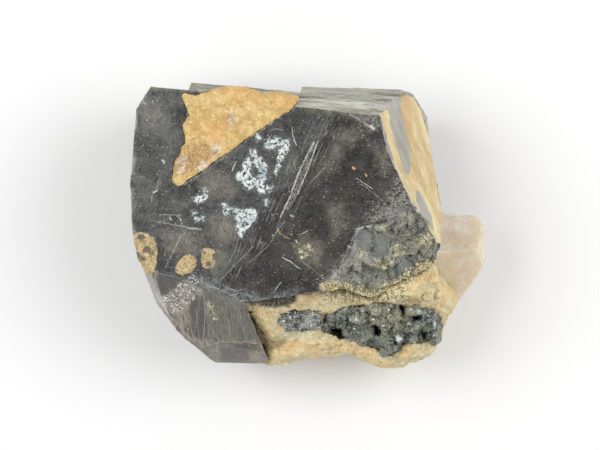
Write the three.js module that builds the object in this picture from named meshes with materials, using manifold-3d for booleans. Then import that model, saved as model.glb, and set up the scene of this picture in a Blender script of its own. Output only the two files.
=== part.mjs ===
// Scheelite crystal with the matrix it grew on, lying on its flat broken base.
// Millimetres, +Z up, origin on the base face under the middle of the main face.
// Azimuths run anticlockwise from +X seen from above; a tilt is a face's lean from facing straight up.
import * as THREE from "three";
import { mergeVertices } from "three/addons/utils/BufferGeometryUtils.js";
import { TessellateModifier } from "three/addons/modifiers/TessellateModifier.js";
import Module from "manifold-3d";

// Driving dimensions
const HEIGHT = 23;
const GAP = 0.3;
const STOCK = 70;
const CUTTER = 240;
const MERGE_DISTANCE = 0.00037;
const TESSELLATIONS = 24;
const CREASE = [-4, 2.3, HEIGHT];
const BACK_EDGE = [-1.4, 14.1, HEIGHT];
const BACK_RIM = [5, 16.85, 13];
const RIGHT_RIM = [15.4, 9.8, 11.5];
const CRUST_THICKNESS = 0.45;
const CRUST_DEPTH = 0.55;
const CRUST_FOOT = 20.3;
const CRUST_CELL = 1.15;
const CRUST_ROUGHNESS = 0.16;
const ABOVE = HEIGHT + 3;

// Faces of the main crystal, each through a point with the direction it looks in
const MAIN_FACES = [
  { name: "crown left", at: CREASE, azimuth: 144.6, tilt: 3 },
  { name: "crown right", at: CREASE, azimuth: -35.4, tilt: 1.5 },
  { name: "back shoulder", at: BACK_EDGE, azimuth: 83.2, tilt: 60 },
  { name: "back undercut", at: BACK_RIM, azimuth: 88.5, tilt: 101 },
  { name: "back corner", at: [12.6, 16.35, 11.5], azimuth: 68, tilt: 88 },
  { name: "right corner", at: [14.3, 14.5, 10.5], azimuth: 34, tilt: 88 },
  { name: "right side", at: RIGHT_RIM, azimuth: 0, tilt: 104 },
  { name: "right front side", at: [16.3, 1.6, 16], azimuth: -12, tilt: 100 },
  { name: "front right", at: [9, -8.4, 18], azimuth: -60, tilt: 93 },
  { name: "front", at: [-6, -9.3, 22], azimuth: 268, tilt: 93 },
  { name: "front left", at: [-14, -7, 22.2], azimuth: 248.3, tilt: 88 },
  { name: "left front", at: [-20.4, -3.4, 21.5], azimuth: 192, tilt: 98 },
  { name: "left", at: [-21.15, 2.5, 22], azimuth: 183, tilt: 98 },
  { name: "left back", at: [-20.95, 8.9, 22], azimuth: 175.5, tilt: 97 },
  { name: "back left corner", at: [-19.7, 15.2, 22], azimuth: 147, tilt: 95 },
  { name: "base", at: [0, 0, 0], azimuth: 0, tilt: 180 },
];

// Steps let into the main crystal: what lies beyond all the faces of a step is missing
const RIGHT_UPPER = { at: [9.1, 11.5, 22.85], azimuth: 12.6, tilt: 64 };
const RIGHT_LOWER = { at: [11.35, 5.35, 22.65], azimuth: 24.8, tilt: 64 };
const BREAK_LEFT = { at: [4.6, -3.6, 22.75], azimuth: -26, tilt: 30 };
const BREAK_BACK = { at: [9.4, 1.1, 22.7], azimuth: -65, tilt: 22 };
const LAYERS_START = { at: [-1, 16, 18], azimuth: 0, tilt: 90 };
const MAIN_STEPS = [
  [RIGHT_UPPER, RIGHT_LOWER],
  [{ at: BACK_RIM, azimuth: 88.5, tilt: 76 }, LAYERS_START],
  [BREAK_LEFT, BREAK_BACK],
  [{ at: [-1, 16.05, 18], azimuth: 85.1, tilt: 89 }, { at: [-0.9, 16, 18], azimuth: 160, tilt: 90 }],
  [{ at: [-17, 16.4, 20], azimuth: 85, tilt: 89 }, { at: [-14.3, 16, 20], azimuth: 165, tilt: 90 }],
  [{ at: [-1.2, -8.45, 20], azimuth: 278, tilt: 92 }, { at: [7.8, -8.9, 18], azimuth: 250, tilt: 92 }],
  [{ at: [8.1, 12.6, 22.4], azimuth: 55, tilt: 25 }, { at: [8.1, 12.1, 22.4], azimuth: 120, tilt: 50 }],
];

// Growth layers, each a steep riser and a flat tread: where each starts and how the next one turns
const SHOULDER_LAYERS = {
  starts: [0.35, 0.75, 1.2], slope: 1.75, sink: 0.25,
  riser: { azimuth: 83.2, tilt: 84 }, tread: { azimuth: 86, tilt: 36 }, turn: -1.5,
};
const SLOPE_LAYERS = {
  drops: [1.6, 3.4, 5.2], slope: 0.25, inset: 1.9, above: 7,
  riser: { azimuth: 91, tilt: 88 }, tread: { azimuth: 88, tilt: 50 }, turn: -3,
};
const SIDE_LAYERS = {
  drops: [4.5, 9.5, 14.5], slope: 0.14, inset: 0.35, top: [-21.15, 2.5, 22],
  riser: { azimuth: 181, tilt: 97 }, tread: { azimuth: 183, tilt: 150 }, turn: 4,
};

// Broken places: the rough break, the rim of the base, and curved breaks on the sides
const CHIP_TURN = 0.7;
const CHIP_LENGTH = [0.6, 1.3];
const BREAK_CHIPS = {
  count: 46, seed: 71, x: [4.5, 15.5], y: [-8.5, 1.5], size: [1.4, 3.4], sink: [-0.35, 0.1], belowCrown: 0.75,
};
const RIM_CHIPS = { spacing: 4, seed: 4021, along: [0.2, 0.8], size: [3, 6.5], out: [0.36, 0.5], z: [-2, 0.8] };
const SCOOP_DETAIL = 5;
const BASE_RIM = [
  [-18, -1], [-17.6, -6.5], [-13, -13], [-10, -15.6], [-5, -15.6], [-4.6, -8.6], [7, -8.4], [12.3, -5],
  [12.6, 11], [10, 14.2], [-16, 14.2], [-18, 11],
];
const SCOOPS = [
  { at: [-19.6, 0.5, 12], azimuth: 170, tilt: 98, radius: 11, depth: 0.5 },
  { at: [-19, 3.5, 7.5], azimuth: 190, tilt: 104, radius: 8, depth: 0.6 },
  { at: [-18.9, 6, 8.8], azimuth: 178, tilt: 90, radius: 12, depth: 0.5 },
  { at: [-18.4, 11.5, 8], azimuth: 165, tilt: 98, radius: 9, depth: 0.7 },
  { at: [-9, 15.9, 8], azimuth: 95, tilt: 101, radius: 13, depth: 0.6 },
  { at: [-5.5, 15.4, 5.5], azimuth: 80, tilt: 108, radius: 9, depth: 0.7 },
  { at: [7.5, 15.6, 6], azimuth: 100, tilt: 96, radius: 10, depth: 0.8 },
  { at: [10, 15.3, 5], azimuth: 75, tilt: 105, radius: 8, depth: 0.5 },
  { at: [13.6, 11.5, 4.6], azimuth: 10, tilt: 100, radius: 9, depth: 0.6 },
  { at: [13.1, 7.5, 2.6], azimuth: -8, tilt: 110, radius: 7, depth: 0.7 },
  { at: [-14.6, -13, 7.5], azimuth: 216, tilt: 99, radius: 15, depth: 0.4 },
];

// Faces of the lower left growth
const GROWTH_FACES = [
  { name: "upper right", at: [-12.4, -7.6, 22.35], azimuth: 280, tilt: 43 },
  { name: "upper left", at: [-12.7, -7.8, 22.2], azimuth: 255, tilt: 41 },
  { name: "tip", at: [-9, -14.4, 15.9], azimuth: 270, tilt: 57 },
  { name: "left bevel", at: [-17.4, -10.2, 18.4], azimuth: 215, tilt: 72 },
  { name: "left side", at: [-17.2, -11.1, 16.2], azimuth: 218, tilt: 99 },
  { name: "far left side", at: [-20.4, -3.4, 21.5], azimuth: 192, tilt: 98 },
  { name: "front side", at: [-9.5, -17.35, 12], azimuth: 268, tilt: 99 },
  { name: "right side", at: [-6, -13.6, 16.5], azimuth: 23, tilt: 92 },
  { name: "crown left", at: CREASE, azimuth: 144.6, tilt: 3 },
  { name: "crown right", at: CREASE, azimuth: -35.4, tilt: 1.5 },
  { name: "joint with the main crystal", at: [-12, -3, 10], azimuth: 90, tilt: 90 },
  { name: "base", at: [0, 0, 0], azimuth: 0, tilt: 180 },
];

// Faces of the quartz crystal, whose long ridge runs along X
const QUARTZ_RIDGE = [19, -3.35, 12.6];
const QUARTZ_FACES = [
  { name: "back slope", at: QUARTZ_RIDGE, azimuth: 88, tilt: 33 },
  { name: "front slope", at: QUARTZ_RIDGE, azimuth: -78, tilt: 30 },
  { name: "end slope", at: [21.4, -3.4, 12], azimuth: 5, tilt: 62 },
  { name: "back", at: [19.5, 1, 9.5], azimuth: 86, tilt: 86 },
  { name: "back right corner", at: [21.8, 0.3, 8.5], azimuth: 42, tilt: 84 },
  { name: "right", at: [22.3, -3, 8.5], azimuth: 1, tilt: 86 },
  { name: "front right", at: [20, -8.4, 8], azimuth: -35, tilt: 86 },
  { name: "front tip", at: [17.6, -11.6, 8], azimuth: 255, tilt: 88 },
  { name: "left", at: [13.5, -3, 8], azimuth: 180, tilt: 90 },
  { name: "underside right", at: [21.5, -3, 6], azimuth: 0, tilt: 130 },
  { name: "underside back", at: [19, 0.5, 6], azimuth: 88, tilt: 125 },
  { name: "underside", at: [18, -4, 3.6], azimuth: 200, tilt: 174 },
];

// Outlines seen from above
const MATRIX_OUTLINE = [
  [-9.2, -9.4], [-8.6, -11.2], [-6.3, -12.9], [-4.8, -15.4], [-4.8, -17.3], [-0.8, -16.8], [2.2, -16.1],
  [5.7, -16.1], [8.1, -17.4], [10.6, -17.8], [15, -16.4], [17.1, -13.6], [17.5, -11.7], [18.7, -9.9],
  [17.3, -6.9], [15.8, -4.4], [13, -3.5], [2, -6], [-7, -8],
];
const CHLORITE_OUTLINE = [
  [1.9, -10.9], [4.9, -9.9], [10.3, -9.5], [12.7, -10], [15.5, -11], [16.8, -12.4], [16.2, -14.3],
  [12.2, -14.7], [11.1, -16.2], [9.6, -16.4], [8.2, -15.3], [5.8, -14.1], [3.9, -14.1], [1.8, -13],
];
const MICA_OUTLINE = [
  [-3.3, -11.7], [-2.1, -10.8], [1.4, -10.7], [1.4, -12.7], [-2.4, -12.8],
];
const CRUST_OUTLINE = [
  [-14.8, 15.5], [-13.4, 15.2], [-10.2, 16.3], [-7.5, 16.4], [-5.4, 15.5], [-3.2, 15.7], [-1, 15.1],
  [-2, 14], [-5.4, 11.8], [-9.5, 8.9], [-12.9, 6.5], [-15.5, 4.8], [-16, 5.2], [-15.8, 6.8],
  [-14.4, 9.9], [-14.6, 11.9], [-13.9, 13.1],
];

// The rock in front of the crystal: its height along the crystal and how it falls away from it
const ROCK_HEIGHT = 18.9;
const ROCK_FRONT = { y: -8.3, slope: 0.72 };
const ROCK_RIGHT = { x: 13.5, slope: 0.8 };
const ROCK_FOOT = 1.2;
const ROCK_OVERHANG = { y: -9, slope: 0.5 };
const MATRIX_LUMP = { rounding: 0.1, layers: 5, cell: 2, roughness: 0.45 };
const MATRIX_GRAINS = { count: 60, seed: 911, size: 0.9 };
const MATRIX_GRAIN_DEPTH = 0.35;
const CREVICE = { size: [0.9, 3.4, 6], at: [-5.9, -12.1, 17], turn: 30 };
const CHLORITE_LUMP = { rounding: 0.06, layers: 3, cell: 2.1, roughness: 0.25 };
const CHLORITE_GRAINS = { count: 42, seed: 523, size: 1 };
const CHLORITE_SINK = 0.1;
const CHLORITE_DEPTH = 3;
const MICA_LUMP = { rounding: 0.05, layers: 2, cell: 1.2, roughness: 0.12 };
const MICA_RISE = 0.1;
const MICA_DEPTH = 2.2;

// Roughness of the rock: the sizes of its coarse and its fine bumps, and the fine ones' share
const BUMPS = { coarse: 2.6, fine: 1.1, share: 0.5 };
const CRUST_BUMPS = { coarse: 1.9, fine: 0.9, share: 0.8 };
const BUMP_OFFSETS = [11, 37, 59];
const GRAIN_SIZES = [0.6, 1];
const GRAIN_HEIGHTS = [0.7, 1.2];

// Materials
const MATERIALS = {
  scheelite: new THREE.MeshStandardMaterial({ color: 0x3a3536, roughness: 0.25, metalness: 0 }),
  ochre: new THREE.MeshStandardMaterial({ color: 0xc9a062, roughness: 0.95, metalness: 0 }),
  feldspar: new THREE.MeshStandardMaterial({ color: 0xd9c7a0, roughness: 0.9, metalness: 0 }),
  chlorite: new THREE.MeshStandardMaterial({ color: 0x2c3531, roughness: 0.4, metalness: 0 }),
  mica: new THREE.MeshStandardMaterial({ color: 0x77797a, roughness: 0.35, metalness: 0.1 }),
  quartz: new THREE.MeshStandardMaterial({ color: 0xdcc6b4, roughness: 0.2, metalness: 0 }),
};

// Solids and geometries
const wasm = await Module();
wasm.setup();

function toSolid(geometry) {
  const bare = geometry.clone();
  bare.deleteAttribute("normal");
  bare.deleteAttribute("uv");
  const merged = mergeVertices(bare, MERGE_DISTANCE);
  const mesh = new wasm.Mesh({
    numProp: 3,
    vertProperties: merged.attributes.position.array,
    triVerts: new Uint32Array(merged.index.array),
  });
  return new wasm.Manifold(mesh);
}

function toGeometry(solid) {
  const mesh = solid.getMesh();
  const geometry = new THREE.BufferGeometry();
  geometry.setAttribute("position", new THREE.BufferAttribute(mesh.vertProperties, 3));
  geometry.setIndex(new THREE.BufferAttribute(mesh.triVerts, 1));
  return geometry;
}

function joined(solids) {
  return solids.reduce((whole, solid) => whole.add(solid));
}

function largest(solid) {
  const pieces = solid.decompose();
  return pieces.reduce((best, piece) => (piece.volume() > best.volume() ? piece : best));
}

// Repeatable random numbers and smooth noise
function randomFrom(seed) {
  let state = seed;
  return (low, high) => {
    state = (state * 16807) % 2147483647;
    return low + ((high - low) * state) / 2147483647;
  };
}

function latticeValue(x, y, z) {
  const wave = Math.sin(x * 127.1 + y * 311.7 + z * 74.7) * 43758.5453;
  return 2 * (wave - Math.floor(wave)) - 1;
}

function smoothNoise(point, size) {
  const [x, y, z] = point.map((value) => value / size);
  const corner = [x, y, z].map(Math.floor);
  const ease = [x - corner[0], y - corner[1], z - corner[2]].map((t) => t * t * (3 - 2 * t));
  let total = 0;
  for (const i of [0, 1]) {
    for (const j of [0, 1]) {
      for (const k of [0, 1]) {
        const share = (i ? ease[0] : 1 - ease[0]) * (j ? ease[1] : 1 - ease[1]) * (k ? ease[2] : 1 - ease[2]);
        total += share * latticeValue(corner[0] + i, corner[1] + j, corner[2] + k);
      }
    }
  }
  return total;
}

// Crystals as what is left when everything beyond their faces is cut away
function facing(azimuth, tilt) {
  const turn = THREE.MathUtils.degToRad(azimuth);
  const lean = THREE.MathUtils.degToRad(tilt);
  return new THREE.Vector3(Math.sin(lean) * Math.cos(turn), Math.sin(lean) * Math.sin(turn), Math.cos(lean));
}

function beyond(face, grow) {
  const normal = facing(face.azimuth, face.tilt);
  const centre = new THREE.Vector3(...face.at).addScaledVector(normal, grow + CUTTER / 2);
  const block = new THREE.BoxGeometry(CUTTER, CUTTER, CUTTER);
  block.applyQuaternion(new THREE.Quaternion().setFromUnitVectors(new THREE.Vector3(0, 0, 1), normal));
  block.translate(centre.x, centre.y, centre.z);
  return toSolid(block);
}

function faceted(faces, grow) {
  const stock = toSolid(new THREE.BoxGeometry(STOCK, STOCK, STOCK));
  return faces.reduce((body, face) => body.subtract(beyond(face, grow)), stock);
}

function stepped(body, steps, grow) {
  return steps.reduce((left, faces) => {
    const missing = faces.map((face) => beyond(face, grow)).reduce((all, block) => all.intersect(block));
    return left.subtract(missing);
  }, body);
}

function heightOn(face, x, y) {
  const turn = THREE.MathUtils.degToRad(face.azimuth);
  const out = (x - face.at[0]) * Math.cos(turn) + (y - face.at[1]) * Math.sin(turn);
  return face.at[2] - out * Math.tan(THREE.MathUtils.degToRad(face.tilt));
}

// Layers: a low riser and a tread, repeated down the slope
function layer({ riser, tread, turn }, index, at) {
  return [
    { at, azimuth: riser.azimuth + index * turn, tilt: riser.tilt },
    { at, azimuth: tread.azimuth, tilt: tread.tilt },
  ];
}

function shoulderSteps() {
  const { starts, slope, sink } = SHOULDER_LAYERS;
  return starts.map((run, index) => {
    const at = [BACK_EDGE[0], BACK_EDGE[1] + run, BACK_EDGE[2] - run * slope - sink];
    return [...layer(SHOULDER_LAYERS, index, at), LAYERS_START];
  });
}

function slopeSteps() {
  const { drops, slope, inset, above } = SLOPE_LAYERS;
  return drops.map((drop, index) => {
    const at = [BACK_RIM[0], BACK_RIM[1] + drop * slope - inset, BACK_RIM[2] + above - drop];
    return [...layer(SLOPE_LAYERS, index, at), LAYERS_START];
  });
}

function sideSteps() {
  const { drops, slope, inset, top } = SIDE_LAYERS;
  return drops.map((drop, index) => {
    const at = [top[0] + drop * slope + inset, top[1], top[2] - drop];
    return layer(SIDE_LAYERS, index, at);
  });
}

// Chips broken out of the stone, as corners of small turned blocks
function chip(random, size, [x, y, z]) {
  const block = new THREE.BoxGeometry(size, size * random(...CHIP_LENGTH), size);
  block.rotateX(random(-CHIP_TURN, CHIP_TURN));
  block.rotateY(random(-CHIP_TURN, CHIP_TURN));
  block.rotateZ(random(0, Math.PI));
  block.translate(x, y, z);
  return toSolid(block);
}

function breakChips() {
  const random = randomFrom(BREAK_CHIPS.seed);
  const chips = [];
  while (chips.length < BREAK_CHIPS.count) {
    const x = random(...BREAK_CHIPS.x);
    const y = random(...BREAK_CHIPS.y);
    const size = random(...BREAK_CHIPS.size);
    const surface = Math.max(heightOn(BREAK_LEFT, x, y), heightOn(BREAK_BACK, x, y));
    if (surface < HEIGHT - BREAK_CHIPS.belowCrown) {
      chips.push(chip(random, size, [x, y, surface + size / 2 + random(...BREAK_CHIPS.sink)]));
    }
  }
  return joined(chips);
}

function rimChips() {
  const random = randomFrom(RIM_CHIPS.seed);
  const chips = BASE_RIM.flatMap(([x1, y1], index) => {
    const [x2, y2] = BASE_RIM[(index + 1) % BASE_RIM.length];
    const length = Math.hypot(x2 - x1, y2 - y1);
    const count = Math.round(length / RIM_CHIPS.spacing);
    return Array.from({ length: count }, (_, step) => {
      const share = (step + random(...RIM_CHIPS.along)) / count;
      const size = random(...RIM_CHIPS.size);
      const out = size * random(...RIM_CHIPS.out);
      const x = x1 + (x2 - x1) * share + ((y2 - y1) / length) * out;
      const y = y1 + (y2 - y1) * share - ((x2 - x1) / length) * out;
      return chip(random, size, [x, y, random(...RIM_CHIPS.z)]);
    });
  });
  return joined(chips);
}

function scoops() {
  return joined(SCOOPS.map(({ at, azimuth, tilt, radius, depth }) => {
    const ball = new THREE.IcosahedronGeometry(radius, SCOOP_DETAIL);
    const centre = new THREE.Vector3(...at).addScaledVector(facing(azimuth, tilt), radius - depth);
    ball.translate(centre.x, centre.y, centre.z);
    return toSolid(ball);
  }));
}

function crystalForm(grow) {
  const main = stepped(faceted(MAIN_FACES, grow), MAIN_STEPS, grow);
  return main.add(faceted(GROWTH_FACES, grow));
}

function scheeliteCrystal() {
  const layered = stepped(crystalForm(0), [...shoulderSteps(), ...slopeSteps(), ...sideSteps()], 0);
  const chips = joined([breakChips(), rimChips(), scoops()]);
  return largest(layered.subtract(chips).subtract(crustPocket()));
}

// Outlines
function widened(outline, distance) {
  return outline.map(([x, y], index) => {
    const before = outline[(index + outline.length - 1) % outline.length];
    const after = outline[(index + 1) % outline.length];
    const along = new THREE.Vector2(after[0] - before[0], after[1] - before[1]).normalize();
    const side = isAnticlockwise(outline) ? 1 : -1;
    return [x + side * along.y * distance, y - side * along.x * distance];
  });
}

function isAnticlockwise(outline) {
  return !THREE.ShapeUtils.isClockWise(outline.map(([x, y]) => new THREE.Vector2(x, y)));
}

function column(outline, bottom, top) {
  const shape = new THREE.Shape(outline.map(([x, y]) => new THREE.Vector2(x, y)));
  const geometry = new THREE.ExtrudeGeometry(shape, { depth: top - bottom, bevelEnabled: false });
  geometry.translate(0, 0, bottom);
  return toSolid(geometry);
}

function bumps(point, { coarse, fine, share }) {
  return smoothNoise(point, coarse) + share * smoothNoise(point, fine);
}

// A lump of rock: its outline from above, the heights of its top and underside, rounded shoulders
function lump({ outline, top, under, rounding, layers, cell, roughness, grow = 0 }) {
  const shape = new THREE.Shape(widened(outline, grow).map(([x, y]) => new THREE.Vector2(x, y)));
  const centre = new THREE.Box2().setFromPoints(shape.getPoints()).getCenter(new THREE.Vector2());
  const block = new THREE.ExtrudeGeometry(shape, { depth: 1, steps: layers, bevelEnabled: false });
  const fine = new TessellateModifier(cell, TESSELLATIONS).modify(block);
  const position = fine.attributes.position;
  for (let index = 0; index < position.count; index += 1) {
    const x = position.getX(index);
    const y = position.getY(index);
    const level = position.getZ(index);
    const shoulder = rounding * Math.abs(2 * level - 1) ** 3;
    const point = [
      x + (centre.x - x) * shoulder,
      y + (centre.y - y) * shoulder,
      THREE.MathUtils.lerp(under(x, y) - grow, top(x, y) + grow, level),
    ];
    const shifts = BUMP_OFFSETS.map((offset) => roughness * bumps(point.map((value) => value + offset), BUMPS));
    position.setXYZ(index, point[0] + shifts[0], point[1] + shifts[1], point[2] + shifts[2]);
  }
  return toSolid(fine);
}

// Heights of the rock in front of the crystal
function rockTop(x, y) {
  const front = ROCK_FRONT.slope * Math.max(0, ROCK_FRONT.y - y);
  const right = ROCK_RIGHT.slope * Math.max(0, x - ROCK_RIGHT.x);
  return ROCK_HEIGHT - front - right;
}

function rockUnder(x, y) {
  return ROCK_FOOT + ROCK_OVERHANG.slope * Math.max(0, ROCK_OVERHANG.y - y);
}

// Small grains that stand out of a rock's surface
function grains({ count, seed, outline, height, size, clearOf = [], grow = 0 }) {
  const random = randomFrom(seed);
  const xs = outline.map((point) => point[0]);
  const ys = outline.map((point) => point[1]);
  const solids = [];
  while (solids.length < count) {
    const x = random(Math.min(...xs), Math.max(...xs));
    const y = random(Math.min(...ys), Math.max(...ys));
    const radius = size * random(...GRAIN_SIZES);
    const turn = [random(0, Math.PI), random(0, Math.PI), random(0, Math.PI)];
    if (isInside(outline, x, y) && !clearOf.some((other) => isInside(other, x, y))) {
      const grain = new THREE.OctahedronGeometry(radius + grow, 0);
      grain.scale(1, 1, random(...GRAIN_HEIGHTS));
      grain.rotateX(turn[0]);
      grain.rotateY(turn[1]);
      grain.rotateZ(turn[2]);
      grain.translate(x, y, height(x, y));
      solids.push(toSolid(grain));
    }
  }
  return joined(solids);
}

function isInside(outline, x, y) {
  let inside = false;
  outline.forEach(([x1, y1], index) => {
    const [x2, y2] = outline[(index + 1) % outline.length];
    if (y1 > y !== y2 > y && x < x1 + ((y - y1) * (x2 - x1)) / (y2 - y1)) inside = !inside;
  });
  return inside;
}

function chloriteMass(grow) {
  const top = (x, y) => rockTop(x, y) - CHLORITE_SINK;
  const under = (x, y) => rockTop(x, y) - CHLORITE_DEPTH;
  const body = lump({ ...CHLORITE_LUMP, outline: CHLORITE_OUTLINE, top, under, grow });
  const inner = widened(CHLORITE_OUTLINE, -2 * GAP);
  return body.add(grains({ ...CHLORITE_GRAINS, outline: inner, height: top, grow }));
}

function micaLens(grow) {
  const top = (x, y) => rockTop(x, y) + MICA_RISE;
  const under = (x, y) => rockTop(x, y) - MICA_DEPTH;
  return lump({ ...MICA_LUMP, outline: MICA_OUTLINE, top, under, grow });
}

function quartzCrystal() {
  return largest(faceted(QUARTZ_FACES, 0).subtract(crystalForm(GAP)));
}

function feldsparMatrix() {
  const body = lump({ ...MATRIX_LUMP, outline: MATRIX_OUTLINE, top: rockTop, under: rockUnder });
  const outgrowths = grains({
    ...MATRIX_GRAINS,
    outline: widened(MATRIX_OUTLINE, -1),
    height: (x, y) => rockTop(x, y) - MATRIX_GRAIN_DEPTH,
    clearOf: [widened(CHLORITE_OUTLINE, 1), widened(MICA_OUTLINE, 1)],
  });
  const crevice = new THREE.BoxGeometry(...CREVICE.size);
  crevice.rotateZ(THREE.MathUtils.degToRad(CREVICE.turn));
  crevice.translate(...CREVICE.at);
  const rough = body.add(outgrowths).subtract(toSolid(crevice));
  const neighbours = [crystalForm(GAP), faceted(QUARTZ_FACES, GAP), chloriteMass(GAP), micaLens(GAP)];
  return largest(rough.subtract(joined(neighbours)));
}

// The crust follows the main face and the back shoulder, part above them and part let into them
function crustPocket() {
  const skin = crystalForm(1).subtract(crystalForm(-CRUST_DEPTH - GAP));
  return skin.intersect(column(widened(CRUST_OUTLINE, GAP), CRUST_FOOT - GAP, ABOVE));
}

function ochreCrust() {
  const skin = crystalForm(CRUST_THICKNESS).subtract(crystalForm(-CRUST_DEPTH));
  const sheet = largest(skin.intersect(column(CRUST_OUTLINE, CRUST_FOOT, ABOVE)));
  const fine = new TessellateModifier(CRUST_CELL, TESSELLATIONS).modify(toGeometry(sheet).toNonIndexed());
  const position = fine.attributes.position;
  for (let index = 0; index < position.count; index += 1) {
    const point = [position.getX(index), position.getY(index), position.getZ(index)];
    position.setZ(index, point[2] + CRUST_ROUGHNESS * bumps(point, CRUST_BUMPS));
  }
  return toSolid(fine);
}

// Assembly
function piece(name, solid, material) {
  const geometry = toGeometry(solid).toNonIndexed();
  geometry.computeVertexNormals();
  const mesh = new THREE.Mesh(geometry, material);
  mesh.name = name;
  return mesh;
}

const specimen = new THREE.Group();
specimen.add(
  piece("scheelite_crystal", scheeliteCrystal(), MATERIALS.scheelite),
  piece("ochre_crust", ochreCrust(), MATERIALS.ochre),
  piece("feldspar_matrix", feldsparMatrix(), MATERIALS.feldspar),
  piece("chlorite_mass", chloriteMass(0), MATERIALS.chlorite),
  piece("mica_lens", micaLens(0), MATERIALS.mica),
  piece("quartz_crystal", quartzCrystal(), MATERIALS.quartz),
);

export default specimen;
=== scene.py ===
"""Looks of the scheelite specimen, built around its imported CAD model.

The specimen is one dark smoky crystal with a flat main face, an ochre clay crust, a cream granular matrix,
a mass of dark green crystals, a lens of gray flakes and a small peach quartz crystal. It lies on a pale floor
and is seen from straight above. Sizes in the dataclasses are millimetres, and meshes are in metres.
"""

import logging
import math
import random
from collections.abc import Callable
from dataclasses import dataclass
from enum import Enum
from functools import cache, cached_property

import bmesh
import bpy
from mathutils import Euler, Matrix, Vector, noise
from mathutils.bvhtree import BVHTree


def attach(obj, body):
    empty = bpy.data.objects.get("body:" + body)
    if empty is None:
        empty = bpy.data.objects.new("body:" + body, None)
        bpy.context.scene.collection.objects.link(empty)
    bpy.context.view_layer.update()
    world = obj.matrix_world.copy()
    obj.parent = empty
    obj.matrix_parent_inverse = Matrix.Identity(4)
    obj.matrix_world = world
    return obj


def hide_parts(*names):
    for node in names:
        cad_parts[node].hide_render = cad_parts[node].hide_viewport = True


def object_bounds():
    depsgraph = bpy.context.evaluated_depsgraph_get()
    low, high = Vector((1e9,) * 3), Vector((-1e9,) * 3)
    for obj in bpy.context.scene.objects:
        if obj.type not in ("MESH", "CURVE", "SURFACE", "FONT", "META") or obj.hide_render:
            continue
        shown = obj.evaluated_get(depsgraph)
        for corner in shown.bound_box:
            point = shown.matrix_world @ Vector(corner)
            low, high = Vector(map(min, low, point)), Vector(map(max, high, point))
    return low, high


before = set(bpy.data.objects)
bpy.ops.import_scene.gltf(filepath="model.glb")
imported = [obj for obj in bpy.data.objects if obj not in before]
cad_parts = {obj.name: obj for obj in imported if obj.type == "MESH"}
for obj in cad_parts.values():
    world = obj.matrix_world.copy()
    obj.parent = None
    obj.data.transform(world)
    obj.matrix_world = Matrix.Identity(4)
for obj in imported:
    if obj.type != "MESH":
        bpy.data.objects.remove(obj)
CAD_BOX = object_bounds()

MM = 0.001
BODY = "root"
LOG = logging.getLogger("scheelite specimen")
NODES = (
    "scheelite_crystal", "ochre_crust", "feldspar_matrix", "chlorite_mass", "mica_lens", "quartz_crystal",
)

Triple = tuple[float, float, float]
Colour = Triple
Point = tuple[float, float]
Points = tuple[Point, ...]
Strokes = tuple[tuple[float, Points], ...]
WorkMesh = bmesh.types.BMesh
Socket = bpy.types.NodeSocket
Value = Socket | float | Colour | Vector
Inputs = dict[str | int, Value]
Given = dict[str, Socket]


# Where things are in the photograph


@dataclass(frozen=True)
class PhotoView:
    """The photograph's view, straight down on the specimen.

    Attributes:
        width: The picture's width in pixels.
        height: The picture's height in pixels.
        eye: Where the camera is.
        focus_height: The height at which a pixel has its stated size.
        pixel: What one pixel covers at that height.
        sensor: The width of the camera's sensor.
    """

    width: int = 600
    height: int = 450
    eye: Triple = (-0.84, -0.12, 338.0)
    focus_height: float = 23.0
    pixel: float = 0.12
    sensor: float = 36.0

    def covered(self, height: float) -> float:
        """Returns what one pixel covers at a height."""
        return self.pixel * (self.eye[2] - height) / (self.eye[2] - self.focus_height)

    def pixel_of(self, place: Vector) -> Point:
        """Finds the pixel that shows a place.

        Args:
            place: The place, in metres.

        Returns:
            The pixel, counted from the picture's top left corner.
        """
        x, y, z = (value / MM for value in place)
        scale = self.covered(z)
        return self.width / 2 + (x - self.eye[0]) / scale, self.height / 2 - (y - self.eye[1]) / scale

    def place_of(self, point: Point) -> Vector:
        """Finds the place at the main face's height that a pixel shows.

        Args:
            point: The pixel, counted from the picture's top left corner.

        Returns:
            The place, in metres.
        """
        scale = self.covered(self.focus_height)
        x = self.eye[0] + (point[0] - self.width / 2) * scale
        y = self.eye[1] - (point[1] - self.height / 2) * scale
        return Vector((x, y, self.focus_height)) * MM

    @property
    def lens(self) -> float:
        """Returns the focal length that gives the pixel its size."""
        return self.sensor * (self.eye[2] - self.focus_height) / (self.width * self.pixel)


VIEW = PhotoView()


@dataclass(frozen=True)
class Outline:
    """A closed outline in the photograph's pixels.

    Attributes:
        points: The corners, in order.
        reach: How far outside it a point's distance is still worked out.
    """

    points: Points
    reach: float

    @cached_property
    def bounds(self) -> tuple[float, float, float, float]:
        """Returns the least and greatest pixel across and down that lie within reach."""
        xs, ys = zip(*self.points)
        return min(xs) - self.reach, max(xs) + self.reach, min(ys) - self.reach, max(ys) + self.reach

    def depth(self, point: Point) -> float:
        """Measures how deep a point lies inside the outline.

        Args:
            point: The pixel.

        Returns:
            The depth in pixels, less than nothing outside the outline.
        """
        px, py = point
        left, right, top, bottom = self.bounds
        if not (left < px < right and top < py < bottom):
            return -self.reach
        inside = False
        nearest = math.inf
        for (x1, y1), (x2, y2) in zip(self.points, self.points[1:] + self.points[:1]):
            dx, dy = x2 - x1, y2 - y1
            if (y1 > py) != (y2 > py) and px < x1 + (py - y1) * dx / dy:
                inside = not inside
            along = max(0.0, min(1.0, ((px - x1) * dx + (py - y1) * dy) / (dx * dx + dy * dy)))
            nearest = min(nearest, math.hypot(px - x1 - along * dx, py - y1 - along * dy))
        return nearest if inside else -min(nearest, self.reach)


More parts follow.
